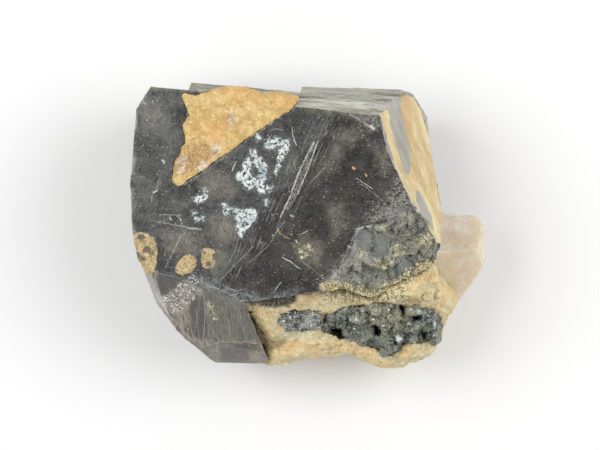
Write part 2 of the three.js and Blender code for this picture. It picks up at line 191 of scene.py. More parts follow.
class Zone(Enum):
    """Zones of the specimen. Each names an attribute that holds the depth inside its outlines."""

    WHITE = "white_stain"
    OCHRE = "ochre_spot"
    INCLUSION = "dark_inclusion"
    OLIVE = "olive_dust"
    FILM = "clay_film"
    # Painted reflection on the clean crystal faces in the clay film.
    WINDOW = "clean_window"
    BREAK = "rough_break"
    SMOOTH = "smooth_facet"
    CLAY = "clay_in_the_break"
    GROWTH = "lower_growth"
    GREEN = "green_facet"
    TIP = "lower_tip"
    PURPLE = "purple_core"
    RIM = "pale_rim"
    # Painted highlights: pale specks for the sparkle on the lower growth.
    PALE = "pale_sparkle"
    HAZE = "worn_haze"
    SPARKLE = "sparkling_chips"
    BROWN = "brown_cloud"
    SLOPE = "back_slope"
    DARK_SLOPE = "dark_band"
    RIGHT = "right_of_crease"
    HAIR = "hair_lines"
    LENS = "hatched_lens"
    ORANGE = "orange_stain"
    RUST = "rusty_film"
    GLASSY = "glassy_grains"
    CREVICE = "brown_crevice"
    # Painted shade: near black under the crystal's overhang on the matrix and in the chlorite's hollows.
    BLACK = "black_hollow"
    # Painted highlights on the chlorite's faces.
    GLINT = "bright_face"
    MASS = "chlorite_mass"
    DUSTY = "dusty_stretch"


class Mask(Enum):
    """Other attributes of the stone's meshes."""

    EDGE = "edge_wear"
    UP = "seen_from_above"


# The outlines of each zone, in the photograph's pixels

SHAPES: dict[Zone, tuple[Points, ...]] = {
    Zone.WHITE: (
        ((264, 143), (270, 137), (277, 138), (283, 140), (290, 140), (288, 150), (283, 154), (282, 148),
         (276, 146), (272, 150), (265, 147)),
        ((279, 150), (284, 152), (282, 162), (279, 170), (276, 176), (275, 172), (277, 163)),
        ((247, 158), (251, 160), (252, 166), (249, 172), (251, 176), (256, 178), (256, 184), (252, 188),
         (248, 190), (245, 184), (240, 181), (236, 177), (238, 173), (243, 172), (243, 165), (245, 160)),
        ((250, 149), (255, 150), (258, 157), (263, 160), (267, 168), (266, 178), (263, 185), (264, 191),
         (259, 193), (256, 186), (259, 181), (257, 176), (260, 172), (257, 166), (254, 160), (251, 154)),
        ((222, 203), (227, 204), (227, 208), (237, 209), (255, 210), (256, 216), (250, 226), (244, 232),
         (241, 237), (237, 232), (237, 224), (235, 214), (230, 210), (228, 216), (223, 214), (224, 210)),
        ((268, 186), (274, 187), (272, 192), (268, 194), (267, 206), (264.5, 206), (265.6, 196), (267, 190)),
        ((203.5, 187), (208, 188), (207.5, 198), (200, 202), (193, 202), (193, 197.5), (200, 196),
         (203.5, 193)),
        ((194, 219.5), (204.5, 215), (205, 218), (196, 222)),
        ((192.5, 211), (196, 212), (195.5, 217), (193, 216)),
        ((255, 135), (261, 134), (261, 138), (257, 141)),
    ),
    Zone.OCHRE: (
        ((133, 232), (144, 232), (152.7, 236.7), (157, 245), (157, 260), (154, 271), (151, 276), (144, 272),
         (138, 264), (134, 249.5)),
        ((175, 271), (177.3, 262.3), (182.6, 257), (189, 255), (193.3, 256), (197, 262), (196.5, 266.6),
         (192, 272), (184.7, 274), (181.5, 275.7)),
        ((201, 257), (202.5, 249.5), (210, 248.5), (216, 251), (217, 259), (212.5, 268), (205, 269),
         (202, 265.5)),
    ),
    Zone.INCLUSION: (
        ((138, 236), (143, 236), (144, 239), (139, 239)),
        ((143, 248), (149, 247), (149, 250), (144, 252)),
        ((134, 253), (138, 253), (139, 257), (135, 258)),
        ((151, 252), (153, 252), (153, 256), (151, 256)),
        ((141, 258), (145, 257), (144, 260)),
        ((207, 263), (211, 262), (212, 265), (208, 266)),
        ((213, 255), (217, 253), (218, 257), (215, 261)),
        ((203, 250), (205, 250), (205, 254)),
    ),
    Zone.OLIVE: (
        ((296, 246), (304, 239), (315, 241), (322, 250), (318, 262), (306, 265), (297, 258)),
        ((214, 250), (222, 250), (225, 256), (221, 265), (213, 268), (210, 260)),
        ((360, 303), (400, 302), (412, 310), (410, 326), (392, 331), (372, 326), (362, 315)),
        ((300, 106), (335, 108), (372, 112), (371, 116), (332, 112), (300, 109)),
        ((272, 322), (282, 331), (312, 331), (300, 338), (282, 337)),
    ),
    Zone.FILM: (
        ((380, 114), (387, 110), (400, 108), (402, 96), (413, 97), (421, 110), (428, 133), (434, 160),
         (438, 190), (441, 212), (441, 243), (437, 243), (421, 214), (411, 201), (404, 186), (396, 168),
         (389, 146)),
    ),
    # Painted reflection: clean crystal faces in the clay film, painted gray as they mirror the pale room.
    Zone.WINDOW: (
        ((388, 106), (392, 98), (400, 98), (401, 112), (404, 123), (408.5, 143), (411, 166), (409, 175),
         (404, 172), (398, 152), (390.5, 124)),
        ((416, 190), (420, 192), (426, 204), (432, 217), (434, 232), (428, 225), (421, 213), (416, 201)),
        ((414, 94), (421, 98), (429, 113), (437, 150), (441, 182), (437, 176), (430, 138), (421, 110)),
    ),
    Zone.BREAK: (
        ((438, 243), (437, 235), (429, 224), (420, 210), (412, 205), (400, 216), (385, 223), (362, 226),
         (354, 236), (352, 252), (336, 272), (321, 288), (340, 292), (361, 297), (378, 298), (401, 286),
         (433, 266)),
    ),
    Zone.SMOOTH: (
        ((355, 230), (372, 226), (372.5, 251), (357, 252)),
        ((375, 236), (387, 236), (388, 256), (375, 258)),
        ((392, 269), (406, 258), (419, 254), (416, 264), (404, 280), (398, 277)),
    ),
    Zone.CLAY: (
        ((391, 246), (398, 243), (405, 247), (404, 256), (397, 258)),
        ((377, 260), (388, 258), (393, 263), (384, 269), (376, 267)),
        ((361, 248), (364, 247), (365, 255), (361, 256)),
        ((380, 226), (387, 226), (386, 231), (380, 231)),
        ((300, 250), (303, 245), (309, 244), (312, 247), (310, 249), (306, 247.5), (303.5, 250), (304, 255),
         (306, 259), (303, 260), (300.5, 256)),
        ((307, 251), (311, 251), (309, 255), (306, 256)),
        ((206, 301), (212, 303), (214, 309), (209, 309)),
        ((211, 315), (217, 316), (216, 320), (211, 319)),
        ((318, 284), (333, 281), (345, 283), (365, 289), (377, 292), (392, 283), (402, 277), (420, 266),
         (434, 258), (436, 266), (420, 277), (408, 286), (404, 300), (386, 304), (345, 304), (328, 302)),
        ((414, 236), (430, 234), (432, 244), (418, 248)),
    ),
    Zone.GROWTH: (
        ((130, 262), (152, 268), (170, 279), (203, 289), (226, 298), (246, 305), (256, 323), (268, 345),
         (275, 370), (190, 376), (130, 300)),
    ),
    Zone.GREEN: (
        ((205, 287), (228, 296), (246, 305), (256, 323), (264, 338), (259, 343), (221, 341), (212, 330),
         (208, 305)),
    ),
    Zone.TIP: (
        ((201, 347), (221, 342), (245, 342), (259, 344), (276, 362), (250, 372), (200, 372)),
    ),
    Zone.PURPLE: (
        ((158, 273), (176, 278), (178, 283), (170, 292), (161, 293), (158, 287)),
        ((222, 348), (246, 345), (248, 360), (222, 360)),
        ((190, 300), (203, 296), (208, 330), (203, 342), (192, 332)),
    ),
    Zone.RIM: (
        ((136, 270), (152, 276), (158, 290), (166, 304), (160, 306), (148, 294), (138, 284)),
    ),
    # Painted highlights: pale specks for the sparkle on the lower growth.
    Zone.PALE: (
        ((191, 275), (200, 281), (198, 290), (191, 302), (181, 312), (173, 313), (165, 307), (164, 298),
         (170, 295), (178, 288), (181, 283), (188, 280)),
    ),
    Zone.HAZE: (
        ((203, 278), (222, 284), (240, 292), (268, 297), (298, 290), (300, 300), (280, 306), (236, 304),
         (203, 290)),
    ),
    # Chips that are partly paler in colour and partly carry painted sparkle; the fourth outline is a painted
    # glint.
    Zone.SPARKLE: (
        ((384, 200), (398, 178), (408, 194), (415, 206), (402, 218), (380, 226), (362, 228), (370, 214)),
        ((318, 290), (334, 268), (352, 250), (352, 262), (338, 280), (328, 292)),
        ((359, 119), (377, 116), (379, 124), (377, 128), (371, 129), (366, 123)),
        # A painted glint.
        ((412, 203), (419, 205), (418, 212), (413, 211)),
    ),
    Zone.BROWN: (
        ((336, 132), (352, 126), (362, 136), (352, 146), (340, 144)),
        ((330, 145), (343, 142), (340, 160), (327, 172), (312, 184), (322, 165)),
        ((376, 152), (386, 148), (392, 165), (384, 173), (377, 166)),
        ((326, 208), (342, 205), (345, 228), (332, 234)),
        ((142, 104), (162, 102), (168, 120), (152, 130), (141, 120)),
        ((212, 215), (234, 216), (238, 234), (222, 246), (212, 232)),
        ((200, 172), (224, 170), (236, 184), (230, 200), (210, 202), (200, 188)),
        ((162, 232), (196, 230), (204, 246), (188, 254), (168, 252)),
    ),
    Zone.SLOPE: (
        ((194, 78), (300, 80), (420, 84), (424, 112), (404, 108), (394, 107), (380, 115), (370, 115),
         (332, 110), (295, 106.5), (262, 103), (200, 95)),
    ),
    Zone.DARK_SLOPE: (
        ((146, 80), (420, 80), (416, 98), (392, 99), (350, 94), (296, 93), (200, 92), (150, 88)),
    ),
    Zone.RIGHT: (
        ((322, 137), (334, 108), (470, 90), (470, 320), (200, 320), (226, 272)),
    ),
    Zone.HAIR: (
        ((300, 140), (332, 108), (345, 110), (326, 150), (304, 196), (282, 238), (244, 272), (225, 280),
         (236, 258), (256, 230), (266, 190)),
    ),
    Zone.LENS: (
        ((313, 142), (318, 142), (311, 160), (304, 177), (297, 195), (288, 210), (280, 218), (290, 196),
         (296, 180), (302, 167)),
    ),
    Zone.ORANGE: (
        ((224, 88), (242, 86), (245, 99), (229, 103)),
        ((272, 95), (290, 95), (300, 99), (288, 107), (276, 106)),
        ((206, 122), (222, 125), (226, 140), (210, 144)),
        ((296, 293), (323, 292), (318, 301), (300, 303)),
        ((244, 306), (262, 308), (270, 313), (256, 318)),
        ((262, 322), (270, 330), (276, 350), (270, 358), (262, 336)),
        ((280, 346), (320, 341), (324, 346), (284, 353)),
    ),
    Zone.RUST: (
        ((401, 95), (410, 95), (414, 118), (413, 140), (409, 140), (403, 112)),
        ((394, 150), (399, 160), (404, 172), (401, 173), (395, 162)),
        ((422, 150), (428, 156), (432, 176), (434, 198), (430, 190)),
    ),
    # Glassy grains: pale in colour, with their highlights painted in.
    Zone.GLASSY: (
        ((178, 158), (184, 153), (187, 160), (184, 172), (178, 174), (177, 166)),
        ((194, 167), (200, 161), (208, 160), (209, 165), (200, 172)),
        ((209, 148), (214, 143), (222, 147), (221, 155), (213, 157)),
        ((227, 113), (233, 111), (237, 119), (233, 127), (228, 122)),
    ),
    # Darker brown: over the crust's lower tip, then in the matrix's crevices, where it is partly painted
    # shade.
    Zone.CREVICE: (
        ((172, 160), (184, 146), (206, 142), (216, 152), (204, 168), (184, 177), (172, 174)),
        ((255, 317), (263, 320), (266, 331), (274, 348), (269, 356), (262, 338), (257, 324)),
        ((268, 337), (286, 340), (284, 349), (270, 347)),
        ((396, 296), (420, 297), (419, 305), (398, 305)),
    ),
    # Painted shade: first the strip under the crystal's overhang, then the chlorite's hollows.
    Zone.BLACK: (
        ((240, 292), (298, 288), (296, 302), (288, 306), (279.5, 307.5), (261, 306), (244, 303.5)),
        ((373, 326), (380, 326), (381, 336), (374, 336)),
        ((421, 330), (427, 331), (427, 340), (422, 340)),
        ((399, 305), (406, 306), (405, 313), (400, 312)),
        ((320, 313), (327, 313), (328, 321), (321, 322)),
        ((328, 325), (342, 328), (342, 336), (332, 334)),
        ((413, 316), (421, 316), (420, 323), (414, 322)),
    ),
    Zone.MASS: (
        ((322, 309), (340, 304), (360, 303), (375, 301), (392, 300), (412, 300), (425, 305), (437, 313),
         (440, 322), (437, 332), (428, 338), (415, 343), (407, 351), (398, 355), (389, 352), (380, 344),
         (366, 337), (350, 334), (335, 335), (322, 328), (319, 318)),
    ),
    Zone.DUSTY: (
        ((272, 222), (298, 224), (316, 226), (324, 250), (322, 276), (300, 286), (262, 292), (240, 284),
         (262, 262), (276, 244)),
    ),
    # Painted highlights: pale glints on the chlorite's faces.
    Zone.GLINT: (
        ((416, 309), (421, 309), (422, 315), (417, 314)),
        ((395, 336), (401, 336), (402, 342), (397, 342)),
        ((380, 328), (385, 328), (384, 332)),
        ((343, 306), (347, 306), (347, 311), (344, 311)),
        ((354, 316), (357, 315), (358, 322), (355, 322)),
        ((432, 320), (437, 322), (436, 327), (432, 325)),
        ((407, 321), (411, 321), (411, 326), (407, 325)),
        ((361, 308), (364, 308), (364, 313), (361, 313)),
    ),
}

REACH = 12.0
CREASE_REACH = 40.0
OUTLINES = {
    zone: tuple(Outline(points, CREASE_REACH if zone is Zone.RIGHT else REACH) for points in outlines)
    for zone, outlines in SHAPES.items()
}


def zone_depth(zone: Zone, point: Point) -> float:
    """Returns how deep a pixel lies inside a zone's outlines, in millimetres."""
    return max(outline.depth(point) for outline in OUTLINES[zone]) * VIEW.pixel


# Scratches, fibres and cracks, with some painted highlights among the pale scratches, each with its width in
# millimetres and the pixels that it runs through

BRIGHT_SCRATCHES_AND_GLINTS: Strokes = (
    (0.15, ((313.7, 142.6), (301, 167.6), (295.6, 180.6), (290, 197), (280, 218))),
    (0.14, ((317.8, 141.7), (311.3, 160), (304.8, 177), (297.4, 194.4))),
    (0.09, ((292, 127), (293, 136), (296.5, 145.4))),
    (0.14, ((236, 162), (232, 171))),
    (0.18, ((290, 215), (293, 216))),
    (0.07, ((356, 178), (373, 189))),
    (0.12, ((356, 229), (372, 225.5))),
    (0.3, ((371, 126), (374, 128.5))),
    # A painted glint.
    (0.35, ((414, 206), (418, 211))),
    (0.1, ((280.7, 282.4), (275.2, 289.8))),
    (0.1, ((177, 287), (180, 283), (182, 289))),
    (0.1, ((281.7, 257.4), (290, 261), (299.3, 268.5))),
    (0.09, ((308, 230.4), (303, 233.5), (299.4, 234.8))),
    (0.13, ((296.3, 240), (297.6, 242.4))),
    (0.14, ((291, 234), (291.6, 234.8))),
    (0.13, ((272.5, 235), (273, 235.6))),
    (0.3, ((162.5, 160.5), (164, 162.5))),
    (0.2, ((153, 192.8), (157, 190.5))),
    (0.18, ((169.5, 217), (171, 220))),
    (0.18, ((179, 217.5), (180.5, 220))),
    (0.11, ((188, 228), (200, 230))),
)
FAINT_SCRATCHES_AND_HIGHLIGHTS: Strokes = (
    (0.08, ((329, 130.6), (317.8, 141.7))),
    (0.1, ((268.7, 131), (276, 128.5), (283, 130))),
    (0.12, ((325, 167.6), (310.4, 182.4))),
    (0.13, ((158, 222), (180, 226), (202, 229))),
    (0.12, ((160, 214.5), (181, 215))),
    (0.08, ((163, 214), (165, 224))),
    (0.1, ((226, 288), (236, 291), (246, 289))),
    (0.1, ((228, 296), (240, 293), (254, 297))),
    (0.1, ((206, 285), (222, 290), (240, 300), (262, 303))),
    (0.08, ((179, 214), (182, 226))),
    (0.12, ((165.6, 267.6), (173, 252), (181, 236))),
    (0.08, ((361, 184), (372, 192), (383, 201))),
    (0.08, ((301, 260), (312, 269), (323, 279))),
    (0.12, ((254, 245.4), (238, 262), (221, 279.6))),
    (0.08, ((240, 233), (236, 248), (229, 262))),
    (0.08, ((285, 220), (268, 246), (250, 262))),
    (0.12, ((158.5, 180), (156.7, 190), (152.8, 193), (151, 203))),
    (0.06, ((281, 200), (268, 226))),
    (0.06, ((275.5, 199), (266, 222))),
    (0.06, ((272, 190), (265, 207))),
    (0.07, ((250, 236), (251.5, 247))),
    (0.06, ((260, 235), (258, 247))),
    (0.07, ((241, 243), (237, 258))),
    # A painted highlight along the ridge between the main face and the right slope.
    (0.22, ((380, 114), (385.5, 140), (391.5, 157), (399, 174), (406.5, 189), (413, 203))),
    (0.1, ((201, 347), (221, 342), (245, 342), (259, 344))),
    # A painted highlight along the back slope's lower edge.
    (0.3, ((343, 103.5), (365, 103.5), (388, 107))),
    (0.12, ((154, 275), (158, 286), (163.4, 308), (175, 321), (194, 348))),
    (0.08, ((217, 343), (217, 361))),
    (0.07, ((188, 314), (194, 341))),
    (0.07, ((196, 308), (200, 345))),
    (0.1, ((204, 292), (205, 318), (203, 345))),
    (0.06, ((226, 303), (230, 336))),
    (0.06, ((239, 309), (246, 340))),
    (0.08, ((150, 282), (158, 296), (172, 320))),
)
ORANGE_FIBRES: Strokes = (
    (0.08, ((278, 228.7), (280.7, 234), (290, 239))),
    (0.07, ((293.7, 161), (295.6, 169.4))),
    (0.3, ((353.5, 167.5), (354.5, 168.5))),
    (0.22, ((365.5, 174), (366.3, 176))),
)
CRACKS: Strokes = (
    (0.4, ((372.8, 226), (373.4, 236), (373, 250))),
    (0.2, ((298, 292.5), (310, 291), (323, 290))),
    (0.35, ((361, 225), (381, 223), (398, 217))),
    (0.2, ((355, 230), (350, 254), (338, 268))),
    (0.14, ((392, 269), (406, 257.5), (419, 253))),
)

# Lines of pixels along which loose crumbs lie

BREAK_SEAM = ((324, 286), (333, 288), (345, 290), (361, 294), (373, 299), (380, 294), (388, 286), (401, 282),
              (413, 276), (421, 269), (433, 261))
BAR_RIM = ((280, 325), (280, 319), (284, 314), (290, 312), (304, 311), (319, 310), (319, 328), (304, 329),
           (284, 329))


# Meshes


@dataclass(frozen=True)
class MeshRules:
    """Small distances and angles that all the meshes share.

    Attributes:
        weld: Corners nearer than this are one, in metres.
        coplanar: Faces that turn less than this are one flat face, in degrees.
        ridge: Edges that turn more than this are ridges, in degrees.
        seen: The least upward part of the normal of a face that is seen from above.
        margin: How far a mesh stays inside the CAD box, in metres.
    """

    weld: float = 2e-6
    coplanar: float = 0.4
    ridge: float = 16.0
    seen: float = 0.03
    margin: float = 1e-5


@dataclass(frozen=True)
class NoiseRules:
    """How the noises behind the relief are mixed.

    Attributes:
        grain_slope: How fast a grain falls off from its middle.
        facet_tilt: How much a facet leans.
        facet_step: How far a facet stands above or below its neighbours.
        tilt_spread: How far apart the leans of two facets are drawn.
        step_spread: How far apart the heights of two facets are drawn.
        fine_share: The height of a ripple's fine waves for each of its wide ones.
        fine_scale: How many fine waves go on a wide one.
    """

    grain_slope: float = 1.4
    facet_tilt: float = 1.6
    facet_step: float = 0.7
    tilt_spread: float = 7.3
    step_spread: float = 3.1
    fine_share: float = 0.5
    fine_scale: float = 2.3


RULES = MeshRules()
MIX = NoiseRules()


def welded_copy(node: str) -> WorkMesh:
    """Copies a CAD node's mesh, welds it and makes one face of each flat face's triangles.

    Args:
        node: The CAD node.

    Returns:
        The copy.
    """
    work = bmesh.new()
    work.from_mesh(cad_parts[node].data)
    bmesh.ops.remove_doubles(work, verts=work.verts, dist=RULES.weld)
    angle = math.radians(RULES.coplanar)
    bmesh.ops.dissolve_limit(work, angle_limit=angle, verts=work.verts, edges=work.edges)
    return work


def even_copy(node: str, cell: float) -> WorkMesh:
    """Copies a CAD node as a closed mesh of small even cells, for a rough rock.

    Args:
        node: The CAD node.
        cell: The cells' width in millimetres.

    Returns:
        The copy.
    """
    welded = welded_copy(node)
    mesh = bpy.data.meshes.new("Even cells")
    welded.to_mesh(mesh)
    welded.free()
    carrier = bpy.data.objects.new("Even cells", mesh)
    bpy.context.scene.collection.objects.link(carrier)
    remesh = carrier.modifiers.new("Even cells", "REMESH")
    remesh.mode = "VOXEL"
    remesh.voxel_size = cell * MM
    shaped = carrier.evaluated_get(bpy.context.evaluated_depsgraph_get())
    work = bmesh.new()
    work.from_mesh(shaped.to_mesh())
    bpy.data.objects.remove(carrier)
    return work


def slice_mesh(work: WorkMesh, cell: float) -> None:
    """Cuts a mesh across the three axes, so that no face is wider than a cell.

    Args:
        work: The mesh.
        cell: The cell's width.
    """
    for axis in range(3):
        values = [vertex.co[axis] for vertex in work.verts]
        low, high = min(values), max(values)
        count = math.ceil((high - low) / (cell * MM))
        normal = Vector([float(index == axis) for index in range(3)])
        for index in range(1, count):
            place = normal * (low + (high - low) * index / count)
            geometry = work.verts[:] + work.edges[:] + work.faces[:]
            bmesh.ops.bisect_plane(work, geom=geometry, dist=RULES.weld, plane_co=place, plane_no=normal)


def split_many_sided(work: WorkMesh) -> None:
    """Turns the faces of more than four sides into triangles."""
    bmesh.ops.triangulate(work, faces=[face for face in work.faces if len(face.verts) > 4])


def every_face(_: bmesh.types.BMFace) -> bool:
    """Chooses any face."""
    return True


def refine(work: WorkMesh, cuts: int, chosen: Callable[[bmesh.types.BMFace], bool] = every_face) -> None:
    """Splits faces into smaller ones.

    Args:
        work: The mesh.
        cuts: How many cuts each edge takes.
        chosen: Says which faces are split.
    """
    split_many_sided(work)
    edges = {edge for face in work.faces if chosen(face) for edge in face.edges}
    bmesh.ops.subdivide_edges(work, edges=list(edges), cuts=cuts, use_grid_fill=True)
    split_many_sided(work)


def displace(work: WorkMesh, shift: Callable[[Vector, Vector], Vector]) -> None:
    """Moves each vertex by what a function gives.

    Args:
        work: The mesh.
        shift: Gives the move in millimetres from the place in millimetres and the normal.
    """
    work.normal_update()
    moves = [shift(vertex.co / MM, vertex.normal) * MM for vertex in work.verts]
    inset = Vector((1, 1, 1)) * RULES.margin
    low = CAD_BOX[0] + inset
    high = CAD_BOX[1] - inset
    for vertex, move in zip(work.verts, moves):
        place = vertex.co + move
        vertex.co = Vector([min(max(place[axis], low[axis]), high[axis]) for axis in range(3)])


def grain(place: Vector, size: float) -> float:
    """Returns how near a place is to the middle of the rounded grain that it lies in, from 0 to 1."""
    return 1.0 - min(1.0, noise.voronoi(place / size)[0][0] * MIX.grain_slope)


def facet(place: Vector, size: float) -> float:
    """Works out the height of the tilted flat face that a place lies on.

    Args:
        place: The place, in millimetres.
        size: The faces' width.

    Returns:
        The height, from about -1 to 1.
    """
    spot = place / size
    middle = noise.voronoi(spot)[1][0]
    lean = noise.noise_vector(middle * MIX.tilt_spread).dot(spot - middle) * MIX.facet_tilt
    return lean + MIX.facet_step * noise.noise(middle * MIX.step_spread)


def ripple(place: Vector, size: float) -> float:
    """Returns smooth noise of two scales, from about -1 to 1."""
    return noise.noise(place / size) + MIX.fine_share * noise.noise(place * MIX.fine_scale / size)


def smooth_step(value: float, low: float, high: float) -> float:
    """Returns 0 below low, 1 above high and a smooth rise between them."""
    share = max(0.0, min(1.0, (value - low) / (high - low)))
    return share * share * (3.0 - 2.0 * share)


def seam_spots(seam: Points, step: float) -> list[Point]:
    """Walks along a line.

    Args:
        seam: The line's corners, in pixels.
        step: The length of a step, in pixels.

    Returns:
        The pixels reached.
    """
    spots = []
    for (x1, y1), (x2, y2) in zip(seam, seam[1:]):
        count = max(1, round(math.hypot(x2 - x1, y2 - y1) / step))
        spots += [(x1 + (x2 - x1) * index / count, y1 + (y2 - y1) * index / count) for index in range(count)]
    return spots


def ridge_vertices(work: WorkMesh) -> set[bmesh.types.BMVert]:
    """Finds the ridges between a stone's faces.

    Args:
        work: The mesh.

    Returns:
        The vertices on them.
    """
    limit = math.radians(RULES.ridge)
    ridges = [edge for edge in work.edges if edge.calc_face_angle(0.0) > limit and edge.is_convex]
    return {vertex for edge in ridges for vertex in edge.verts}


@cache
def specimen_tree() -> BVHTree:
    """Gathers the CAD nodes' faces, ready for rays, once for all calls.

    Returns:
        The faces.
    """
    work = bmesh.new()
    for node in NODES:
        work.from_mesh(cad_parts[node].data)
    tree = BVHTree.FromBMesh(work)
    work.free()
    return tree


def place_seen(point: Point) -> Vector:
    """Finds the place on the specimen that a pixel shows.

    Args:
        point: The pixel.

    Returns:
        The place, in millimetres.
    """
    eye = Vector(VIEW.eye) * MM
    target = VIEW.place_of(point)
    place = specimen_tree().ray_cast(eye, (target - eye).normalized())[0]
    return (place or target) / MM


def to_object(work: WorkMesh, name: str, sharp: float) -> bpy.types.Object:
    """Turns a finished mesh into an object in the scene.

    Args:
        work: The mesh, which is freed.
        name: The object's name.
        sharp: Edges that turn more than this stay sharp, in degrees.

    Returns:
        The object, which sits at the origin.
    """
    work.normal_update()
    for face in work.faces:
        face.smooth = True
    for edge in work.edges:
        edge.smooth = edge.calc_face_angle(0.0) < math.radians(sharp)
    mesh = bpy.data.meshes.new(name)
    work.to_mesh(mesh)
    work.free()
    if "custom_normal" in mesh.attributes:
        mesh.attributes.remove(mesh.attributes["custom_normal"])
    mesh.materials.clear()
    piece = bpy.data.objects.new(name, mesh)
    bpy.context.scene.collection.objects.link(piece)
    return piece


def set_attribute(piece: bpy.types.Object, name: str, values: list[float]) -> None:
    """Stores one number for each vertex of a piece.

    Args:
        piece: The piece.
        name: The attribute's name.
        values: The numbers, in the vertices' order.
    """
    attribute = piece.data.attributes.new(name, "FLOAT", "POINT")
    attribute.data.foreach_set("value", values)


# Shader nodes


@dataclass(frozen=True)
class Cloud:
    """Noise that is cut between two levels.

    Attributes:
        scale: Its bumps to a millimetre.
        detail: How many finer noises are laid over it.
        roughness: How strong the finer noises are, from 0 to 1.
        low: The noise up to which the result is start.
        high: The noise from which the result is end.
        start: The result in the hollows.
        end: The result on the bumps.
    """

    scale: float
    detail: float
    roughness: float
    low: float
    high: float
    start: float = 0.0
    end: float = 1.0


class Graph:
    """Adds and links the nodes of one node tree."""

    def __init__(self, tree: bpy.types.NodeTree) -> None:
        """Takes the node tree that the nodes go into."""
        self.tree = tree

    def feed(self, socket: Socket, value: Value) -> None:
        """Links a socket to another, or sets its value.

        Args:
            socket: The socket that is fed.
            value: The other socket, or the value.
        """
        if isinstance(value, Socket):
            self.tree.links.new(value, socket)
        elif socket.type == "RGBA" and len(value) == 3:
            socket.default_value = (*value, 1.0)
        else:
            socket.default_value = value

    def add(self, kind: str, inputs: Inputs | None = None, **settings: object) -> bpy.types.Node:
        """Adds a node.

        Args:
            kind: The node's type.
            inputs: What its sockets are given.
            settings: What its properties are set to.

        Returns:
            The node.
        """
        node = self.tree.nodes.new(kind)
        for name, value in settings.items():
            setattr(node, name, value)
        for name, value in (inputs or {}).items():
            self.feed(node.inputs[name], value)
        return node

    def math(self, operation: str, *values: Value) -> Socket:
        """Returns the result of a sum on one to three values."""
        return self.add("ShaderNodeMath", dict(enumerate(values)), operation=operation).outputs[0]

    def times(self, first: Value, second: Value) -> Socket:
        """Returns the product of two values."""
        return self.math("MULTIPLY", first, second)

    def most(self, first: Value, second: Value) -> Socket:
        """Returns the greater of two values."""
        return self.math("MAXIMUM", first, second)

    def vector(self, operation: str, *values: Value) -> bpy.types.Node:
        """Returns a node that does a sum on vectors."""
        return self.add("ShaderNodeVectorMath", dict(enumerate(values)), operation=operation)

    def blend(self, share: Value, first: Value, second: Value) -> Socket:
        """Returns a colour between two."""
        inputs = {0: share, 6: first, 7: second}
        return self.add("ShaderNodeMix", inputs, data_type="RGBA").outputs[2]

    def mix(self, share: Value, first: Value, second: Value) -> Socket:
        """Returns a number between two."""
        return self.add("ShaderNodeMix", {0: share, 2: first, 3: second}, data_type="FLOAT").outputs[0]

    def span(self, value: Value, low: Value, high: Value, start: float = 0.0, end: float = 1.0) -> Socket:
        """Returns a smooth change from start to end as a value goes from low to high."""
        inputs = {0: value, 1: low, 2: high, 3: start, 4: end}
        return self.add("ShaderNodeMapRange", inputs, interpolation_type="SMOOTHSTEP").outputs[0]

    def noise(self, vector: Value, scale: Value, detail: float = 4.0, roughness: float = 0.55) -> Socket:
        """Returns noise about one half, whose bumps are one over scale wide."""
        inputs = {"Vector": vector, "Scale": scale, "Detail": detail, "Roughness": roughness}
        return self.add("ShaderNodeTexNoise", inputs).outputs[0]

    def cloud(self, place: Value, cloud: Cloud) -> Socket:
        """Returns noise cut between its two levels."""
        bumps = self.noise(place, cloud.scale, cloud.detail, cloud.roughness)
        return self.span(bumps, cloud.low, cloud.high, cloud.start, cloud.end)

    def cells(self, vector: Value, scale: Value) -> bpy.types.Node:
        """Returns a node that splits space into cells one over scale wide."""
        return self.add("ShaderNodeTexVoronoi", {"Vector": vector, "Scale": scale}, feature="F1")

    def attribute(self, name: Enum) -> Socket:
        """Returns an attribute of the mesh."""
        return self.add("ShaderNodeAttribute", attribute_name=name.value).outputs["Fac"]

    def place(self) -> Socket:
        """Returns the place on the piece, in millimetres."""
        coordinates = self.add("ShaderNodeTexCoord").outputs["Object"]
        return self.vector("MULTIPLY", coordinates, Vector((1, 1, 1)) / MM).outputs[0]

    def streaks(self, place: Value, turn: float, stretch: Triple) -> Socket:
        """Squeezes space so that noise in it runs in streaks.

        Args:
            place: The place on the piece.
            turn: The angle from the streaks to the y axis, in degrees.
            stretch: What space is multiplied by across the streaks, along them and upwards.

        Returns:
            The place in the squeezed space.
        """
        inputs = {"Vector": place, "Angle": math.radians(turn)}
        turned = self.add("ShaderNodeVectorRotate", inputs, rotation_type="Z_AXIS").outputs[0]
        return self.vector("MULTIPLY", turned, Vector(stretch)).outputs[0]


SOCKET_KINDS = {
    "Place": "Vector",
    "Start": "Vector",
    "End": "Vector",
    "Dark": "Color",
    "Light": "Color",
    "Colour": "Color",
}


@dataclass(frozen=True)
class EffectGroup:
    """A shader effect that several materials use.

    Attributes:
        name: The effect's name.
        inputs: The inputs' names.
        output: The output's name.
        make: Builds the effect from the graph and the inputs, and returns the result.
    """

    name: str
    inputs: tuple[str, ...]
    output: str
    make: Callable[[Graph, Given], Socket]

    def tree(self) -> bpy.types.NodeTree:
        """Makes the effect's node group at its first use.

        Returns:
            The node group.
        """
        if self.name in bpy.data.node_groups:
            return bpy.data.node_groups[self.name]
        tree = bpy.data.node_groups.new(self.name, "ShaderNodeTree")
        sides = [(name, "INPUT") for name in self.inputs] + [(self.output, "OUTPUT")]
        for name, side in sides:
            kind = "NodeSocket" + SOCKET_KINDS.get(name, "Float")
            tree.interface.new_socket(name=name, in_out=side, socket_type=kind)
        graph = Graph(tree)
        given = graph.add("NodeGroupInput")
        result = self.make(graph, {socket.name: socket for socket in given.outputs if socket.name})
        graph.add("NodeGroupOutput", {0: result})
        return tree

    def place_in(self, graph: Graph, **inputs: Value) -> Socket:
        """Places the effect in a material and returns its output."""
        named = {name.capitalize(): value for name, value in inputs.items()}
        return graph.add("ShaderNodeGroup", named, node_tree=self.tree()).outputs[0]


